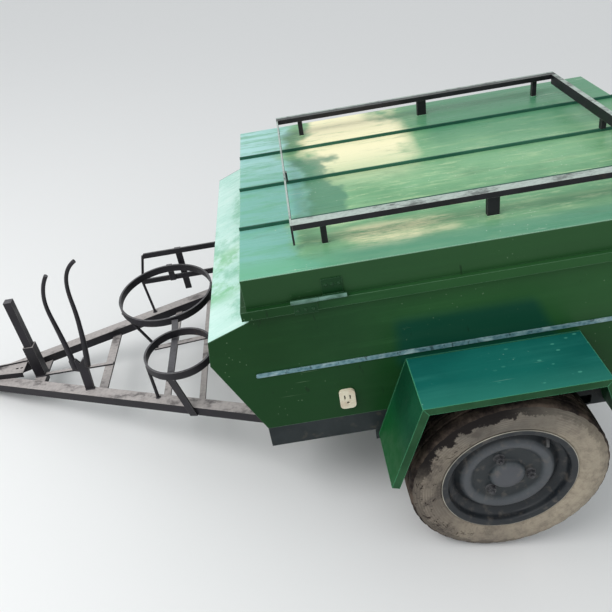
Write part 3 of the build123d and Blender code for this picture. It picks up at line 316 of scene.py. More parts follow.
def lid_enamel():
    """Lid under a pale sky: a painted teal sky reflection along the front, light green behind that is
    partly dusty, oxidised enamel and partly painted sunlight and sky reflection, painted glare patches near
    and far, and a painted shade band.

    Only faces turned up carry this painted light; what doesn't face up, such as the lid's inner side, is
    plain dark green.
    """
    # Light greens: partly dusty, oxidised enamel, partly painted sunlight and sky reflection
    s, colour = enamel("green_lid", srgb(128, 180, 134), srgb(100, 156, 112), srgb(178, 210, 162), 0.34)
    flecks = s.ramp(s.noise(26.0, stretch=(0.35, 1.6, 1.6), detail=8.0, rough=0.75), 0.5, 0.7, 0.0, 0.6)
    colour = s.mix(flecks, colour, srgb(196, 222, 172))
    wander = s.math("ADD", s.x, s.ramp(s.noise(5.0, detail=4.0), 0.3, 0.7, -0.05, 0.05))
    rear = s.both(s.ramp(wander, 0.5, 0.66), s.ramp(s.y, -0.1, 0.36, 0.1, 0.9))
    colour = s.mix(rear, colour, srgb(80, 142, 108))
    brushed = s.noise(12.0, stretch=(0.4, 2.5, 2.5), detail=8.0, rough=0.75)
    # Painted glare: pale patches over the middle, strongest toward the far side
    painted_glare = s.both(
        s.band(wander, 0.27, 0.46, 0.07), s.ramp(s.y, -0.14, 0.2), s.ramp(brushed, 0.26, 0.46, 0.3, 1.0),
    )
    colour = s.mix(painted_glare, colour, srgb(254, 248, 204))
    # Painted glare: a pale patch by the near edge
    painted_near_glare = s.both(
        s.band(wander, 0.3, 0.44, 0.08), s.band(s.y, -0.42, -0.36, 0.05), s.ramp(brushed, 0.35, 0.6),
    )
    colour = s.mix(painted_near_glare, colour, srgb(230, 229, 184))
    # Painted shade: a darker band, the post's shadow and dark reflection
    dark = s.both(s.band(wander, 0.17, 0.25, 0.03), s.band(s.y, -0.22, 0.14, 0.06, 0.75))
    colour = s.mix(dark, colour, srgb(70, 128, 104))
    # Painted teal sky reflection along the front, paler and bluer toward the far side
    front = s.ramp(wander, 0.19, 0.13, 0.0, 0.95)
    painted_sky_teal = s.mix(s.ramp(s.y, -0.1, 0.35), srgb(122, 182, 170), srgb(172, 218, 216))
    painted_sky_teal = s.mix(s.ramp(brushed, 0.45, 0.62, 0.0, 0.7), painted_sky_teal, srgb(104, 172, 138))
    colour = s.mix(front, colour, painted_sky_teal)
    outer = s.ramp(s.y, -0.4, -0.46, 0.0, 0.8)
    colour = s.mix(outer, colour, s.mix(s.ramp(s.x, 0.3, 0.1), srgb(90, 148, 122), srgb(106, 174, 138)))
    dirt = s.ramp(s.noise(9.0, stretch=(0.5, 2.0, 2.0), detail=8.0, rough=0.7), 0.56, 0.72, 0.0, 0.5)
    colour = s.mix(dirt, colour, srgb(92, 132, 98))
    colour = scratched(s, colour, srgb(214, 226, 206), 0.7)
    # The painted light stays on faces turned up; other faces get plain dark green
    colour = s.mix(s.facing((0, 0, 1), -0.4, 0.1), srgb(30, 74, 38), colour)
    s.colour(s.mix(s.edges(0.003, 0.8), colour, srgb(190, 222, 196)))
    return s.material


def seam_enamel():
    """Dark teal of the lid's standing seams."""
    s, colour = enamel("green_seam", srgb(46, 98, 80), srgb(34, 82, 66), srgb(84, 132, 108))
    s.colour(colour)
    return s.material


def nose_enamel():
    """Pale mint of the nose's sky-facing panels, painted sunlight and sky reflection on green paint that
    shows in patches.

    The header above them is greener and their foot dark.
    """
    # Pale mint: painted sunlight and sky reflection
    s, colour = enamel("green_nose", srgb(200, 233, 223), srgb(174, 219, 205), srgb(222, 243, 236), 0.3)
    # Green patches where the painted reflection breaks
    thin = s.ramp(s.noise(5.0, stretch=(1.0, 1.0, 2.0), detail=7.0, rough=0.65), 0.5, 0.62, 0.0, 0.75)
    colour = s.mix(thin, colour, srgb(128, 188, 160))
    blotches = s.ramp(s.noise(9.0, detail=7.0, rough=0.7), 0.42, 0.58, 0.0, 0.7)
    middle = s.both(s.band(s.y, -0.3, -0.12, 0.08), blotches)
    colour = s.mix(middle, colour, srgb(112, 184, 124))
    header = s.ramp(s.z, *HEADER, 0.0, 0.9)
    colour = s.mix(header, colour, srgb(96, 157, 122))
    foot = s.both(s.ramp(s.z, *NOSE_FOOT), s.ramp(s.noise(12.0, detail=5.0), 0.4, 0.6, 0.2, 0.9))
    colour = s.mix(foot, colour, srgb(60, 110, 78))
    s.colour(scratched(s, colour, srgb(90, 140, 116), 0.5))
    return s.material


def guard_enamel():
    """Mudguards: tops in a teal that is painted sky reflection, paler toward the outer edge with painted
    sheen, dark green lips and slopes, and a pale edge line that is painted highlight.
    """
    s, colour = enamel("green_guard", srgb(20, 104, 94), srgb(14, 92, 84), srgb(38, 120, 108), 0.55)
    # Painted sheen: paler toward the outer edge
    out = s.ramp(s.math("ABSOLUTE", s.y), *GUARD_TOP_SHEEN, 0.0, 0.6)
    colour = s.mix(out, colour, srgb(50, 128, 112))
    colour = scratched(s, colour, srgb(128, 176, 160), 0.8)
    chips = s.ramp(s.cells(24.0, stretch=(1.0, 1.8, 1.0)), 0.09, 0.16, 0.6, 0.0)
    marks = s.both(chips, s.ramp(s.x, 0.5, 0.7))
    colour = s.mix(marks, colour, srgb(84, 166, 146))
    # Faces turned up get the teal painted sky reflection
    top = s.facing((0, 0, 1), 0.8, 0.95)
    slope = s.mix(s.ramp(s.noise(6.0, detail=5.0), 0.35, 0.65), srgb(4, 56, 34), srgb(12, 74, 48))
    lip = s.mix(s.ramp(s.noise(9.0, detail=5.0), 0.35, 0.65), srgb(22, 66, 36), srgb(40, 84, 52))
    slope = s.mix(s.ramp(s.z, 0.52, 0.4, 0.0, 0.7), slope, srgb(12, 84, 34))
    sideways = s.math("MAXIMUM", s.facing((0, -1, 0), 0.8, 0.95), s.facing((0, 1, 0), 0.8, 0.95))
    colour = s.mix(top, s.mix(sideways, slope, lip), colour)
    # Pale edge line: painted highlight
    s.colour(s.mix(s.edges(0.003, 0.75), colour, srgb(92, 178, 132)))
    return s.material


def worn_black(name, top_reflection, tone, kept=None):
    """Old black paint: navy-black flanks, tops pale with painted sky reflection broken by dark chips, rust
    in places, and pale edges that are partly wear and partly painted highlight.

    Tops stay dark, without the painted reflection, in the strip kept, between two distances across the
    trailer in metres.
    """
    s = Shader(name, roughness=0.5, specular=0.35)
    patches = s.noise(14.0, detail=8.0, rough=0.65)
    fine = s.noise(110.0, detail=4.0)
    colour = s.mix(s.ramp(patches, 0.35, 0.7), srgb(15, 13, 19), srgb(32, 29, 36))
    rust = s.ramp(s.noise(24.0, detail=8.0, rough=0.7), 0.6, 0.72, 0.0, 0.5)
    colour = s.mix(rust, colour, srgb(78, 58, 48))
    # Painted sky reflection on faces turned up
    top = s.facing((0, 0, 1), 0.55, 0.9)
    if kept:
        top = s.both(top, s.math("SUBTRACT", 1.0, s.band(s.y, *kept, 0.002, 0.85)))
    unchipped = s.ramp(s.noise(20.0, stretch=(0.6, 1, 1), detail=8.0, rough=0.7), 0.34, 0.5, 0.25, 1.0)
    colour = s.mix(s.both(top, unchipped, s.ramp(fine, 0.3, 0.6, top_reflection * 0.8, top_reflection)), colour, tone)
    # Pale edges: partly wear, partly painted highlight
    s.colour(s.mix(s.edges(0.0016, 0.6), colour, srgb(158, 156, 152)))
    s.roughness(s.ramp(patches, 0.3, 0.7, 0.38, 0.62))
    s.relief([(patches, 0.35, 0.0012), (fine, 0.2, 0.0004)], 0.001)
    return s.material


def slate_chassis():
    """Slate underbody paint with road dirt."""
    s = Shader("slate_chassis", roughness=0.62, specular=0.3)
    patches = s.noise(9.0, detail=8.0, rough=0.65)
    colour = s.mix(s.ramp(patches, 0.35, 0.7), srgb(22, 31, 33), srgb(40, 47, 49))
    dirt = s.ramp(s.noise(30.0, detail=6.0), 0.56, 0.75, 0.0, 0.5)
    colour = s.mix(dirt, colour, srgb(96, 88, 76))
    s.colour(s.mix(s.edges(0.002, 0.4), colour, srgb(110, 116, 116)))
    s.relief([(patches, 0.4, 0.0015)], 0.001)
    return s.material


def zinc():
    """Blue-grey galvanised strip with pale bloom and dark spots."""
    s = Shader("zinc_strip", roughness=0.45, metallic=0.2, specular=0.4)
    spangle = s.cells(90.0)
    colour = s.mix(s.ramp(spangle, 0.1, 0.75), srgb(74, 114, 124), srgb(112, 148, 156))
    bloom = s.ramp(s.noise(40.0, stretch=(0.5, 1, 1), detail=6.0), 0.5, 0.7, 0.0, 0.8)
    colour = s.mix(bloom, colour, srgb(176, 200, 202))
    spots = s.ramp(s.noise(60.0, stretch=(1, 1, 0.6), detail=3.0), 0.6, 0.68, 0.0, 0.8)
    colour = s.mix(spots, colour, srgb(40, 66, 68))
    s.colour(s.mix(s.edges(0.0015, 0.5), colour, srgb(196, 212, 212)))
    s.relief([(spangle, 0.2, 0.0005), (s.noise(25.0), 0.4, 0.001)], 0.0008)
    return s.material


def hinge_enamel():
    """Painted-over hinge leaves and screws; the barrel is rubbed to pale grey-green."""
    s, colour = enamel("green_hinge", srgb(26, 66, 34), srgb(18, 54, 27), srgb(42, 80, 48))
    wear = s.ramp(s.noise(60.0, stretch=(0.4, 1, 1), detail=6.0), 0.3, 0.6, 0.35, 0.95)
    barrel = s.both(s.band(s.z, *BARREL_HEIGHT, 0.001), s.ramp(s.y, *BARREL_OUT), wear)
    colour = s.mix(barrel, colour, srgb(108, 142, 130))
    s.colour(s.mix(s.edges(0.0015, 0.5), colour, srgb(104, 142, 112)))
    return s.material


def wheel_steel():
    """Dark dusty wheel: paler cap, painted highlight on the shoulder ring, painted shade in the recess and
    deeper, near black, in the well, rust freckles, a rim edge rubbed bright.
    """
    s = Shader("wheel_steel", roughness=0.5, specular=0.35)
    reach = s.from_axle()
    patches = s.noise(16.0, detail=8.0, rough=0.65)
    colour = s.mix(s.ramp(patches, 0.35, 0.68), srgb(52, 59, 64), srgb(76, 82, 85))
    cap = s.ramp(reach, *CAP, 0.0, 0.75)
    colour = s.mix(cap, colour, srgb(82, 83, 88))
    # Painted shade in the recess between cap and shoulder
    recess = s.band(reach, *RECESS, 0.008, 0.85)
    colour = s.mix(recess, colour, srgb(34, 39, 42))
    # Painted highlight on the shoulder ring
    shoulder = s.band(reach, *SHOULDER, 0.01, 0.6)
    colour = s.mix(shoulder, colour, srgb(84, 86, 90))
    # Painted shade, near black, in the well inside the rim
    well = s.band(reach, *WELL, 0.006, 0.75)
    colour = s.mix(well, colour, srgb(16, 19, 24))
    dust = s.ramp(s.noise(38.0, detail=6.0), 0.5, 0.75, 0.0, 0.4)
    colour = s.mix(dust, colour, srgb(118, 110, 102))
    rust = s.ramp(s.noise(55.0, detail=8.0, rough=0.7), 0.64, 0.74, 0.0, 0.5)
    colour = s.mix(rust, colour, srgb(84, 62, 50))
    rim = s.both(s.ramp(reach, *RIM_EDGE), s.ramp(s.noise(12.0, detail=5.0), 0.35, 0.6, 0.35, 0.9))
    colour = s.mix(rim, colour, srgb(198, 192, 176))
    s.colour(colour)
    s.roughness(s.ramp(patches, 0.3, 0.7, 0.36, 0.58))
    s.relief([(patches, 0.3, 0.0012), (s.noise(140.0), 0.2, 0.0004)])
    return s.material


def muddy_rubber():
    """Sidewall under dried mud: rings of beige and grey, darker rubber in cracks and spots, and painted
    shade toward the top, under the mudguard.
    """
    s = Shader("muddy_rubber", roughness=0.85, specular=0.2)
    reach = s.from_axle()
    broad = s.noise(5.0, detail=8.0, rough=0.65)
    fine = s.noise(48.0, detail=8.0, rough=0.7)
    mud = s.mix(s.ramp(broad, 0.35, 0.65), srgb(126, 118, 108), srgb(152, 142, 126))
    mud = s.mix(s.ramp(s.x, 0.56, 0.8, 0.0, 0.6), mud, srgb(176, 165, 146))
    mud = s.mix(s.ramp(s.x, 0.5, 0.38, 0.0, 0.45), mud, srgb(100, 92, 84))
    # Painted shade under the mudguard: darker toward the top
    mud = s.mix(s.ramp(s.z, 0.38, 0.47, 0.0, 0.6), mud, srgb(92, 90, 86))
    wave = s.math("SINE", s.math("MULTIPLY", reach, MUD_RINGS))
    rings = s.both(s.ramp(wave, 0.2, 1.0, 0.0, 0.35), s.ramp(s.noise(8.0), 0.35, 0.6))
    mud = s.mix(rings, mud, srgb(174, 162, 146))
    mud = s.mix(s.ramp(fine, 0.42, 0.7, 0.0, 0.5), mud, srgb(104, 94, 86))
    thin = s.ramp(s.noise(9.0, detail=8.0, rough=0.75), 0.48, 0.62)
    bare = s.both(thin, s.ramp(s.x, 0.6, 0.44, 0.15, 0.75))
    colour = s.mix(bare, mud, srgb(72, 66, 62))
    spots = s.noise(30.0, detail=5.0, rough=0.8, distortion=0.5)
    cracks = s.both(s.ramp(spots, 0.57, 0.62), s.ramp(s.x, 0.56, 0.4, 0.1, 1.0))
    colour = s.mix(cracks, colour, srgb(46, 36, 32))
    frayed = s.ramp(s.noise(22.0, detail=8.0, rough=0.75), 0.3, 0.7, -0.014, 0.014)
    ragged = s.math("ADD", reach, frayed)
    shoulder = s.both(
        s.ramp(ragged, *SIDEWALL_END), s.ramp(s.z, 0.3, 0.4, 0.35, 1.0), s.ramp(s.x, 0.72, 0.56, 0.3, 1.0),
    )
    s.colour(s.mix(shoulder, colour, srgb(30, 26, 25)))
    s.relief([(broad, 0.3, 0.002), (wave, 0.12, 0.0006), (fine, 0.45, 0.0013), (cracks, -0.6, 0.002)])
    return s.material


def tread_rubber():
    """Dark brown rubber of the tread and its shoulders, caked with earth."""
    s = Shader("tread_rubber", roughness=0.9, specular=0.2)
    earth = s.ramp(s.noise(14.0, detail=8.0, rough=0.7), 0.38, 0.66)
    s.colour(s.mix(earth, srgb(34, 28, 27), srgb(92, 80, 70)))
    s.relief([(s.noise(60.0, detail=8.0), 0.6, 0.002)])
    return s.material


def valve_rubber():
    """Grey rubber of the valves, grubby in patches."""
    s = Shader("valve_rubber", roughness=0.6)
    colour = s.mix(s.ramp(s.noise(40.0, detail=6.0), 0.4, 0.7), srgb(84, 84, 84), srgb(58, 58, 60))
    s.colour(s.mix(s.ramp(s.cells(300.0), 0.08, 0.14, 0.5, 0.0), colour, srgb(70, 66, 58)))
    s.relief([(s.noise(220.0), 0.12, 0.0003)], 0.0008)
    return s.material


def socket_plastic():
    """Ivory socket: paler along its rim, pinkish grime on its face, dark in the slots."""
    s = Shader("socket_plastic", roughness=0.45)
    colour = s.mix(s.ramp(s.noise(40.0, detail=6.0), 0.4, 0.7), srgb(228, 220, 196), srgb(206, 186, 162))
    depths = s.both(s.ramp(s.y, *SOCKET_DEPTHS), s.facing((0, -1, 0), 0.8, 0.95))
    colour = s.mix(depths, colour, srgb(62, 50, 34))
    s.colour(s.mix(s.edges(0.0022, 0.85), colour, srgb(240, 242, 222)))
    s.relief([(s.noise(220.0), 0.12, 0.0003)], 0.0008)
    return s.material


def lamp_plastic():
    """Tail lamp: black housing, ribbed red lens and an amber outer third."""
    s = Shader("lamp_plastic", roughness=0.25)
    lens = s.both(s.ramp(s.x, *LENS_FACE), s.band(s.z, *LENS_HEIGHT, 0.0005))
    amber = s.ramp(s.math("ABSOLUTE", s.y), *LENS_AMBER)
    colour = s.mix(amber, srgb(150, 16, 14), srgb(206, 104, 14))
    ribs = s.math("SINE", s.math("MULTIPLY", s.y, 1500.0))
    s.colour(s.mix(lens, srgb(24, 24, 25), colour))
    s.relief([(s.both(lens, ribs), 0.5, 0.001)], 0.001)
    return s.material


def nut_steel():
    """Wheel nuts: dark steel, its corners rubbed."""
    s = Shader("nut_steel", roughness=0.5, metallic=0.1, specular=0.3)
    colour = s.mix(s.ramp(s.noise(70.0, detail=6.0), 0.35, 0.65), srgb(50, 50, 54), srgb(78, 78, 80))
    s.colour(s.mix(s.edges(0.0012, 0.4), colour, srgb(128, 126, 122)))
    return s.material


SIDE_GREEN = side_enamel()
LID_GREEN = lid_enamel()
SEAM_GREEN = seam_enamel()
NOSE_GREEN = nose_enamel()
GUARD_GREEN = guard_enamel()
# Second and third arguments: strength and colour of the painted sky reflection on tops
BEAM_BLACK = worn_black("black_beams", 0.9, srgb(186, 179, 176))
RACK_BLACK = worn_black("black_rack", 0.95, srgb(178, 192, 184), kept=FAR_RAIL)
ROD_BLACK = worn_black("black_rods", 0.35, srgb(140, 138, 142))
CHASSIS = slate_chassis()
ZINC = zinc()
HINGE_GREEN = hinge_enamel()
WHEEL = wheel_steel()
NUT_STEEL = nut_steel()
RUBBER = muddy_rubber()
TREAD = tread_rubber()
VALVE = valve_rubber()
SOCKET = socket_plastic()
LAMP = lamp_plastic()


def piece(name, vertices, faces, material, body, slot_name, sharp=None):
    """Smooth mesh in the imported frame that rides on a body, creased over the sharp angle in degrees."""
    mesh = bpy.data.meshes.new(name)
    mesh.from_pydata([tuple(v) for v in vertices], [], faces)
    mesh.validate()
    obj = bpy.data.objects.new(name, mesh)
    bpy.context.scene.collection.objects.link(obj)
    for each in material if isinstance(material, list) else [material]:
        mesh.materials.append(each)
    mesh.shade_smooth()
    if sharp is not None:
        mesh.set_sharp_from_angle(angle=math.radians(sharp))
    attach(obj, body)
    return obj


def joined(shapes):
    """Vertices and faces of several shapes as one."""
    vertices, faces = [], []
    for more_vertices, more_faces in shapes:
        base = len(vertices)
        vertices += more_vertices
        faces += [tuple(base + v for v in face) for face in more_faces]
    return vertices, faces


def skinned(rings, sides):
    """Faces between rings of equal counts, with both ends closed."""
    faces = [tuple(reversed(range(sides)))]
    for ring in range(rings - 1):
        for i in range(sides):
            j = (i + 1) % sides
            low, high = ring * sides, (ring + 1) * sides
            faces.append((low + i, low + j, high + j, high + i))
    faces.append(tuple(range((rings - 1) * sides, rings * sides)))
    return faces


def stack(centre, axis, levels, sides, twist=0.0):
    """Turned or flat-sided stack: rings of (radius, height) along an axis of the level frame."""
    axis = Vector(axis).normalized()
    across = axis.orthogonal().normalized()
    other = axis.cross(across)
    vertices = []
    for radius, height in levels:
        for i in range(sides):
            angle = 2 * math.pi * i / sides + twist
            out = across * math.cos(angle) + other * math.sin(angle)
            vertices.append(level(*(Vector(centre) + axis * height + out * radius)))
    return vertices, skinned(len(levels), sides)


def tube(points, radii, sides):
    """Round tube through points, with a radius at each."""
    spots = [Vector(point) for point in points]
    vertices = []
    across = None
    for index, spot in enumerate(spots):
        ahead = (spots[min(index + 1, len(spots) - 1)] - spots[max(index - 1, 0)]).normalized()
        across = ahead.orthogonal() if across is None else across
        across = (across - ahead * across.dot(ahead)).normalized()
        other = ahead.cross(across)
        for i in range(sides):
            angle = 2 * math.pi * i / sides
            out = across * math.cos(angle) + other * math.sin(angle)
            vertices.append(level(*(spot + out * radii[index])))
    return vertices, skinned(len(spots), sides)


# Weld beads: length of a step, share of the radius that ripples, radians of ripple a step
BEAD_STEP, BEAD_RIPPLE, BEAD_TURN = 1.2, 0.16, 2.1


def bead(corners, radius):
    """Rippled weld bead along a line through corners."""
    points = []
    for start, end in zip(corners, corners[1:]):
        run = Vector(end) - Vector(start)
        steps = max(int(run.length / BEAD_STEP), 1)
        points += [Vector(start) + run * (i / steps) for i in range(steps)]
    points.append(Vector(corners[-1]))
    ripple = [1 + BEAD_RIPPLE * math.cos(BEAD_TURN * i) for i in range(len(points))]
    ripple[0] = ripple[-1] = 0.5
    radii = [radius * share for share in ripple]
    return tube(points, radii, 8)


def ring_bead(centre, axis, reach, radius):
    """Rippled weld bead round a rod."""
    axis = Vector(axis).normalized()
    across = axis.orthogonal().normalized()
    other = axis.cross(across)
    corners = []
    for i in range(25):
        angle = 2 * math.pi * i / 24
        corners.append(Vector(centre) + (across * math.cos(angle) + other * math.sin(angle)) * reach)
    return bead(corners, radius)


def lathe(name, profile, segments, side, material, body, slot_name, sharp, wave=None):
    """Turns a profile of (radius, offset outward from the wheel's middle plane) about the axle.

    wave(index, step) adds to the radius of one point of the profile at one step round.
    """
    vertices = []
    for step in range(segments):
        angle = 2 * math.pi * step / segments
        for index, (radius, offset) in enumerate(profile):
            reach = radius + (wave(index, step) if wave else 0.0)
            vertices.append(level(
                AXLE.x + reach * math.cos(angle), side * (TRACK_HALF + offset),
                AXLE.z + reach * math.sin(angle),
            ))
    count = len(profile)
    faces = []
    for step in range(segments):
        following = (step + 1) % segments
        for index in range(count - 1):
            quad = (
                step * count + index, step * count + index + 1,
                following * count + index + 1, following * count + index,
            )
            faces.append(quad if side > 0 else quad[::-1])
    return piece(name, vertices, faces, material, body, slot_name, sharp)


def smooth_line(points, steps):
    """Catmull-Rom points through the given ones."""
    out = []
    for i in range(len(points) - 1):
        before, start, end, after = (
            Vector(points[min(max(k, 0), len(points) - 1)]) for k in (i - 1, i, i + 1, i + 2)
        )
        for step in range(steps):
            t = step / steps
            out.append(tuple(0.5 * (
                2 * start + (end - before) * t + (2 * before - 5 * start + 4 * end - after) * t * t
                + (3 * start - before - 3 * end + after) * t ** 3
            )))
    out.append(tuple(points[-1]))
    return out


# Wheel profiles: radius, offset outward from the wheel's middle plane
TYRE_HALF = [
    (168.0, 57.0), (176.0, 58.4), (183.0, 59.5), (187.0, 62.6), (191.0, 63.4), (195.0, 66.0), (206.0, 70.2),
    (216.0, 71.8), (226.0, 71.9), (231.0, 72.4), (234.0, 71.9), (243.0, 69.2), (250.0, 66.2), (256.0, 63.0),
    (262.0, 59.6), (265.0, 56.0),
]
TREAD_RIBS = [
    (265.8, 52.0), (266.0, 36.0), (259.0, 34.5), (259.0, 29.5), (266.4, 28.0),
    (266.8, 12.0), (259.0, 10.5), (259.0, 5.5), (267.0, 4.0),
]
RIM_FRONT = [
    (166.0, 45.0), (166.5, 56.0), (168.0, 59.5), (175.0, 60.2), (180.5, 60.6), (182.0, 61.6), (180.4, 62.6),
    (174.0, 62.4), (167.0, 61.6), (163.6, 59.0), (162.0, 54.0), (161.4, 44.0), (158.5, 38.0), (149.0, 32.0),
    (144.0, 28.5), (140.4, 25.0),
]
RIM_BACK = [
    (140.4, 25.0), (139.6, 20.0), (139.5, -24.0), (141.0, -28.0), (149.0, -33.0), (158.5, -39.0),
    (161.4, -46.0), (162.0, -56.0), (164.0, -59.6), (170.0, -61.2), (178.0, -61.8), (182.0, -61.4),
    (180.4, -60.0), (172.0, -59.6), (167.0, -58.6), (166.0, -52.0),
]
DISC_FRONT = [
    (140.4, 25.0), (137.0, 27.5), (131.0, 33.0), (124.0, 40.5), (118.5, 45.6), (112.0, 46.6), (105.0, 45.4),
    (98.5, 41.4), (93.5, 36.2), (89.0, 34.0), (80.0, 33.4), (66.0, 33.4), (56.0, 33.4), (51.4, 34.0),
    (49.0, 37.0), (46.6, 42.4), (42.6, 46.8), (37.0, 49.4), (26.0, 52.0), (13.0, 53.6), (0.5, 54.0),
]
DISC_BACK = [
    (140.0, 14.0), (128.0, 22.0), (118.0, 36.0), (108.0, 42.0), (92.0, 32.0), (70.0, 30.0), (33.0, 30.0),
]

# Steps round the wheel, and what every eighth or twelfth of them adds to the tyre's radius
TYRE_STEPS, RIM_STEPS = 288, 144
NOTCH_EVERY, NOTCH = 8, (-1.0, -1.8, -1.0)
RIB_CUT_EVERY, RIB_CUT = 12, -2.5

# Wheel nuts and valve: places, and rings of radius and height over the seat
NUT_CIRCLE = 65.0
NUT_TURNS = (-10, 110, 230)   # degrees
NUT_SEAT = 32.8
NUT_WASHER = [(15.5, 0), (15.0, 1.6), (12.2, 3.4)]
NUT_BODY = [(11.6, 1), (12.6, 2.2), (12.6, 12), (11.4, 14.2), (7.4, 14.8)]
NUT_STUD = [(6.0, 12), (6.0, 20.0), (5.0, 21.2)]
VALVE_PLACE = (150.0, 46.0)   # radius, angle in degrees
VALVE_SEAT = 32.0
VALVE_LEAN = 0.5
VALVE_STEM = [(7.5, -2), (7.0, 2), (5.0, 5), (4.6, 17), (4.2, 18), (4.2, 26), (3.6, 27)]

# Sizes of the CAD that the trim sits on
BEAM_SPREAD, BEAM_MEET, BEAM_APEX, BEAM_TOP = 370.0, 930.0, -945.0, 398.0
BEAM_SPAN = 43.0   # across the trailer
CHASSIS_FRONT = -15.0
CROSSBARS = ((-223.0, 19.0), (-336.0, 22.0), (-554.0, 29.0))   # middle, width
CROSSBAR_TOP = 375.0
SLEEVE_X, SLEEVE_HALF = -788.0, 17.1
ROD_FEET = ((-354.8, -250.8), (-418.0, 232.7))   # small hoop's rod, guard frame's rod
FORK_FOOT = (-584.5, -154.0, 13.5, 5.0)   # middle x and y, half length, half thickness
GUARD_LINE = ((280.0, 346.0), (370.0, 598.0), (818.0, 598.0), (908.0, 346.0))
LID_TOP = 908.0
RACK_POSTS = ((212.5, 15.0), (625.0, 30.0), (1007.5, 15.0))   # middle, width
RACK_POST_Y, RACK_POST_HALF = 385.0, 7.9
HINGES = (174.0, 1046.0)
SPRING_Y, SPRING_TOP = 472.0, 310.0

# Trim
SCREW = [(4.6, -0.4), (4.6, 0.7), (3.9, 1.7), (2.0, 2.1), (1.3, 1.0)]
HINGE_SCREWS = (   # name, distances along from each hinge's middle, y, z, body
    ("screws_lower_leaves", (-53, -34, -15), -517.0, 812.0, "trailer"),
    ("screws_upper_leaves", (20, 36, 52), -503.0, 862.0, "lid"),
)
GUARD_BEAD, CROSSBAR_BEAD, BEAM_BEAD, SLEEVE_BEAD, FORK_BEAD, ROD_BEAD, POST_BEAD = (
    1.8, 2.0, 2.2, 2.2, 2.0, 1.8, 1.6,   # radii
)
GUARD_BEAD_OUT, GUARD_BEAD_RISE = 500.6, 0.6
CROSSBAR_BEAD_INSET, BEAM_BEAD_INSET, BEAM_BEAD_AHEAD = 0.8, 2.0, 1.0
FOOT_BEAD_RISE, ROD_BEAD_REACH = 0.4, 6.2
POST_BEAD_RISE, POST_BEAD_GAP = 0.3, 0.4
AXLE_BOLT_REACH, AXLE_BOLT_OUT, AXLE_BOLT_RISE, AXLE_BOLT_RADIUS = 30.0, 28.0, 13.0, 4.6
AXLE_NUT, AXLE_NUT_TWIST = 15.0, 0.3   # across corners, radians
BOLT_PLATE = (38.0, 36.0, 4.0)   # half length, half width, thickness
PLATE_CUT = 5.0


def tyre(side, body, name):
    """Tyre with a ribbed tread, notched shoulders and a soft sidewall."""
    half = smooth_line(TYRE_HALF, 2)
    outer = half + TREAD_RIBS
    profile = outer + [(radius, -offset) for radius, offset in reversed(outer)]
    count = len(profile)
    tread = len(half)   # the first point of the ribs
    shoulder = range(tread - 7, tread + 2)

    def wave(index, step):
        """Notches across the shoulders and fine cuts in the ribs."""
        index = min(index, count - 1 - index)
        if index in shoulder:
            notch = step % NOTCH_EVERY
            return NOTCH[notch] if notch < len(NOTCH) else 0.0
        return RIB_CUT if index >= tread + 2 and step % RIB_CUT_EVERY == 0 else 0.0

    rubber = [RUBBER, TREAD]
    obj = lathe(name, profile, TYRE_STEPS, side, rubber, body, "tyre_rubber", sharp=28, wave=wave)
    for face in obj.data.polygons:
        index = min(face.vertices) % count
        if min(index, count - 2 - index) >= tread - 4:
            face.material_index = 1
    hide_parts(name.replace("tyre_dressed", "tyre"))


def on_wheel(side, radius, turn, offset):
    """Point at a radius and angle of a wheel, offset outward from its middle plane."""
    angle = math.radians(turn)
    return Vector((
        AXLE.x + radius * math.cos(angle), side * (TRACK_HALF + offset), AXLE.z + radius * math.sin(angle),
    ))


def wheel(side, body, tag):
    """Rim, dished disc with a centre cap, wheel nuts on their studs, and a valve."""
    turned = (("rim_", RIM_FRONT, 3), ("barrel_", RIM_BACK, 2), ("disc_back_", DISC_BACK, 1))
    steel = (side, WHEEL, body, "wheel_steel")
    for name, profile, steps in turned:
        lathe(name + tag, smooth_line(profile, steps), RIM_STEPS, *steel, sharp=60)
    disc = lathe("disc_" + tag, smooth_line(DISC_FRONT, 3), RIM_STEPS, *steel, sharp=60)
    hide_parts("wheel_disc_" + tag)
    out = (0, side, 0)
    for turn in NUT_TURNS:
        centre = on_wheel(side, NUT_CIRCLE, turn, NUT_SEAT)
        shape = joined([
            stack(centre, out, NUT_WASHER, 24),
            stack(centre, out, NUT_BODY, 6, math.radians(turn)),
            stack(centre, out, NUT_STUD, 16),
        ])
        piece("nut_%s_%d" % (tag, turn % 360), *shape, NUT_STEEL, body, "wheel_steel", sharp=30)
    centre = on_wheel(side, *VALVE_PLACE, VALVE_SEAT)
    lean = Vector(out) - VALVE_LEAN * (centre - on_wheel(side, 0, 0, VALVE_SEAT)).normalized()
    piece("valve_" + tag, *stack(centre, lean, VALVE_STEM, 16), VALVE, body, "tyre_rubber", sharp=40)


def around(x, y, z, half_x, half_y):
    """Corners of a closed rectangle round a foot."""
    signs = ((-1, -1), (1, -1), (1, 1), (-1, 1), (-1, -1))
    return [(x + a * half_x, y + b * half_y, z) for a, b in signs]


def axle_nut(centre):
    """Washer and hexagon nut with a chamfered top, upright."""
    r = AXLE_NUT / 2
    return joined([
        stack(centre, (0, 0, 1), [(r * 1.25, -0.3), (r * 1.25, 1.2)], 20),
        stack(centre, (0, 0, 1), [(r, 1), (r, 0.95 * r), (r * 0.86, 1.15 * r)], 6, AXLE_NUT_TWIST),
    ])


def slab(x, y, z):
    """Plate between pairs of level coordinates, its corners cut."""
    cut = PLATE_CUT
    outline = [
        (x[0] + cut, y[0]), (x[1] - cut, y[0]), (x[1], y[0] + cut), (x[1], y[1] - cut),
        (x[1] - cut, y[1]), (x[0] + cut, y[1]), (x[0], y[1] - cut), (x[0], y[0] + cut),
    ]
    vertices = [level(*spot, height) for height in z for spot in outline]
    return vertices, skinned(2, len(outline))


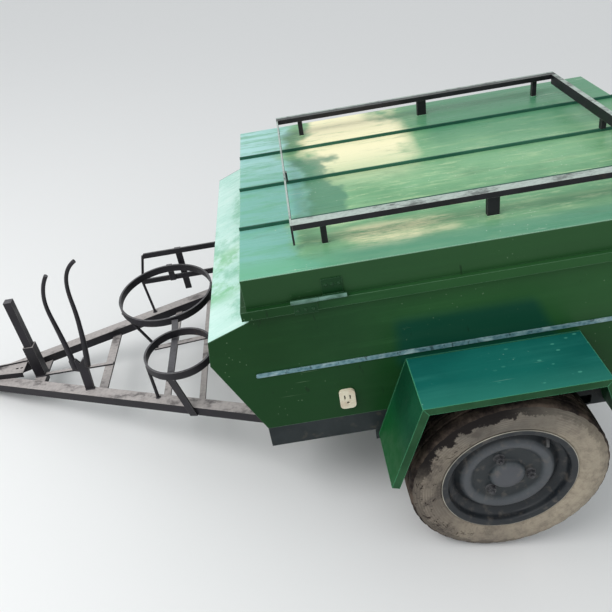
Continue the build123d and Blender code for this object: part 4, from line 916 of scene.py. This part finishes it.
def hinge_screws():
    """Pan head screws in the hinge leaves, painted over."""
    for name, along, y, z, body in HINGE_SCREWS:
        screws = [stack((hinge + x, y, z), (0, -1, 0), SCREW, 16) for hinge in HINGES for x in along]
        piece(name, *joined(screws), HINGE_GREEN, body, "green_paint", sharp=40)


def mudguard_beads():
    """Weld beads where the mudguards meet the box's sides."""
    beads = []
    for side in (-1, 1):
        line = [(x, side * GUARD_BEAD_OUT, z + GUARD_BEAD_RISE) for x, z in GUARD_LINE]
        beads.append(bead(line, GUARD_BEAD))
    piece("beads_mudguards", *joined(beads), GUARD_GREEN, "trailer", "green_paint")


def beam_inner(x):
    """Distance of a beam's inner face from the trailer's middle plane, at a level x."""
    return BEAM_SPREAD * (x - BEAM_APEX) / BEAM_MEET


def drawbar_beads():
    """Weld beads at the crossbars' and beams' ends and round the feet that stand on the drawbar."""
    beads = []
    on_bar, on_beam = CROSSBAR_TOP + FOOT_BEAD_RISE, BEAM_TOP + FOOT_BEAD_RISE
    for side in (-1, 1):
        for x, width in CROSSBARS:
            ends = (x - width / 2, x + width / 2)
            line = [(at, side * (beam_inner(at) - CROSSBAR_BEAD_INSET), on_bar) for at in ends]
            beads.append(bead(line, CROSSBAR_BEAD))
        inner = beam_inner(CHASSIS_FRONT)
        ends = (inner + BEAM_BEAD_INSET, inner + BEAM_SPAN - BEAM_BEAD_INSET)
        beads.append(bead([(CHASSIS_FRONT - BEAM_BEAD_AHEAD, side * y, BEAM_TOP) for y in ends], BEAM_BEAD))
    beads.append(bead(around(SLEEVE_X, 0.0, on_bar, SLEEVE_HALF, SLEEVE_HALF), SLEEVE_BEAD))
    x, y, half_x, half_y = FORK_FOOT
    beads.append(bead(around(x, y, on_beam, half_x, half_y), FORK_BEAD))
    for x, y in ROD_FEET:
        beads.append(ring_bead((x, y, on_beam), (0, 0, 1), ROD_BEAD_REACH, ROD_BEAD))
    piece("beads_drawbar", *joined(beads), ROD_BLACK, "trailer", "black_paint")


def rack_beads():
    """Painted weld beads round the feet of the rack's side posts."""
    beads = []
    z = LID_TOP + POST_BEAD_RISE
    for side in (-1, 1):
        for x, width in RACK_POSTS:
            corners = around(x, side * RACK_POST_Y, z, width / 2 + POST_BEAD_GAP, RACK_POST_HALF)
            beads.append(bead(corners, POST_BEAD))
    piece("beads_rack_posts", *joined(beads), LID_GREEN, "lid", "green_paint")


def axle_bolts():
    """U-bolts round the axle beam, their nuts on a plate over each spring."""
    bolts = []
    half_x, half_y, thickness = BOLT_PLATE
    plate_top = SPRING_TOP + thickness
    for side in (-1, 1):
        for y in (side * SPRING_Y - AXLE_BOLT_OUT, side * SPRING_Y + AXLE_BOLT_OUT):
            legs = (AXLE.x - AXLE_BOLT_REACH, AXLE.x + AXLE_BOLT_REACH)
            path = [(legs[0], y, SPRING_TOP + AXLE_BOLT_RISE), (legs[0], y, AXLE.z)]
            for step in range(1, 12):
                angle = math.pi * (1 + step / 12)
                bend = (AXLE_BOLT_REACH * math.cos(angle), AXLE_BOLT_REACH * math.sin(angle))
                path.append((AXLE.x + bend[0], y, AXLE.z + bend[1]))
            path += [(legs[1], y, AXLE.z), (legs[1], y, SPRING_TOP + AXLE_BOLT_RISE)]
            bolts.append(tube(path, [AXLE_BOLT_RADIUS] * len(path), 12))
            for x in legs:
                bolts.append(axle_nut((x, y, plate_top)))
        bolts.append(slab(
            (AXLE.x - half_x, AXLE.x + half_x), (side * SPRING_Y - half_y, side * SPRING_Y + half_y),
            (SPRING_TOP, plate_top),
        ))
    piece("axle_bolts", *joined(bolts), CHASSIS, "trailer", "chassis_paint", sharp=40)


# Materials of the CAD's nodes: by slot, and by name where a node has its own
PAINT = {
    "green_paint": SIDE_GREEN, "black_paint": BEAM_BLACK, "chassis_paint": CHASSIS, "galvanised": ZINC,
    "wheel_steel": WHEEL, "tyre_rubber": RUBBER, "socket_plastic": SOCKET, "lamp_plastic": LAMP,
}
OWN_PAINT = {
    "hinge_lower_leaves": HINGE_GREEN, "hinge_upper_leaves": HINGE_GREEN,
    "lid_top": LID_GREEN, "lid_seams": SEAM_GREEN,
    "nose_top_panel": NOSE_GREEN, "nose_face_panel": NOSE_GREEN, "nose_header_panel": NOSE_GREEN,
    "rack_posts": RACK_BLACK, "rack_end_bars": RACK_BLACK,
    "rack_rail_left": RACK_BLACK, "rack_rail_right": RACK_BLACK,
    "bottle_hoop_large": ROD_BLACK, "bottle_hoop_small": ROD_BLACK, "bottle_guard": ROD_BLACK,
    "carrier_fork": ROD_BLACK, "prop_leg": ROD_BLACK,
}


def paint_nodes():
    """Gives each CAD node its material."""
    for entry in frame["record"]["subparts"]:
        name = entry["node"]
        material = OWN_PAINT.get(name, PAINT[entry["material_slot"]])
        if name.startswith("mudguard"):
            material = GUARD_GREEN
        mesh = nodes[name].data
        mesh.materials.clear()
        mesh.materials.append(material)


def floor():
    """Large pale floor under the tyres."""
    mesh = bpy.data.meshes.new("floor")
    reach = 12.0
    corners = [(-reach, -reach, 0), (reach, -reach, 0), (reach, reach, 0), (-reach, reach, 0)]
    mesh.from_pydata(corners, [], [(0, 1, 2, 3)])
    obj = bpy.data.objects.new("floor", mesh)
    bpy.context.scene.collection.objects.link(obj)
    material = bpy.data.materials.new("floor_pale")
    material.use_nodes = True
    bsdf = material.node_tree.nodes["Principled BSDF"]
    bsdf.inputs["Base Color"].default_value = (0.86, 0.86, 0.855, 1.0)
    bsdf.inputs["Roughness"].default_value = 0.9
    bsdf.inputs["Specular IOR Level"].default_value = 0.1
    mesh.materials.append(material)


def lamp(name, location, target, size, power):
    """Square soft lamp, unseen by the camera itself."""
    data = bpy.data.lights.new(name, "AREA")
    data.shape = "SQUARE"
    data.size = size
    data.energy = power
    obj = bpy.data.objects.new(name, data)
    obj.location = location
    obj.rotation_euler = (Vector(target) - Vector(location)).to_track_quat("-Z", "Y").to_euler()
    obj.visible_camera = False
    bpy.context.scene.collection.objects.link(obj)


def world():
    """Even pale light all round, and a near-white background where it is seen or mirrored."""
    scene_world = bpy.data.worlds.new("world")
    bpy.context.scene.world = scene_world
    scene_world.use_nodes = True
    tree = scene_world.node_tree
    light = tree.nodes["Background"]
    light.inputs["Color"].default_value = (0.95, 0.98, 1.0, 1.0)
    light.inputs["Strength"].default_value = 0.74
    seen = tree.nodes.new("ShaderNodeBackground")
    seen.inputs["Color"].default_value = (0.93, 0.94, 0.95, 1.0)
    rays = tree.nodes.new("ShaderNodeLightPath")
    mix = tree.nodes.new("ShaderNodeMixShader")
    shown = rays.outputs["Is Camera Ray"]
    for kind in ("Is Glossy Ray", "Is Transmission Ray"):
        either = tree.nodes.new("ShaderNodeMath")
        either.operation = "MAXIMUM"
        tree.links.new(shown, either.inputs[0])
        tree.links.new(rays.outputs[kind], either.inputs[1])
        shown = either.outputs["Value"]
    tree.links.new(shown, mix.inputs["Fac"])
    tree.links.new(light.outputs["Background"], mix.inputs[1])
    tree.links.new(seen.outputs["Background"], mix.inputs[2])
    tree.links.new(mix.outputs["Shader"], tree.nodes["World Output"].inputs["Surface"])


for tag, side in (("left", -1), ("right", 1)):
    tyre(side, "wheel_" + tag, "tyre_dressed_" + tag)
    wheel(side, "wheel_" + tag, tag)
hinge_screws()
mudguard_beads()
drawbar_beads()
rack_beads()
axle_bolts()
paint_nodes()
floor()
world()
lamp("key_softbox", (-2.6, -1.6, 3.4), (0.0, 0.0, 0.5), 2.5, 90.0)
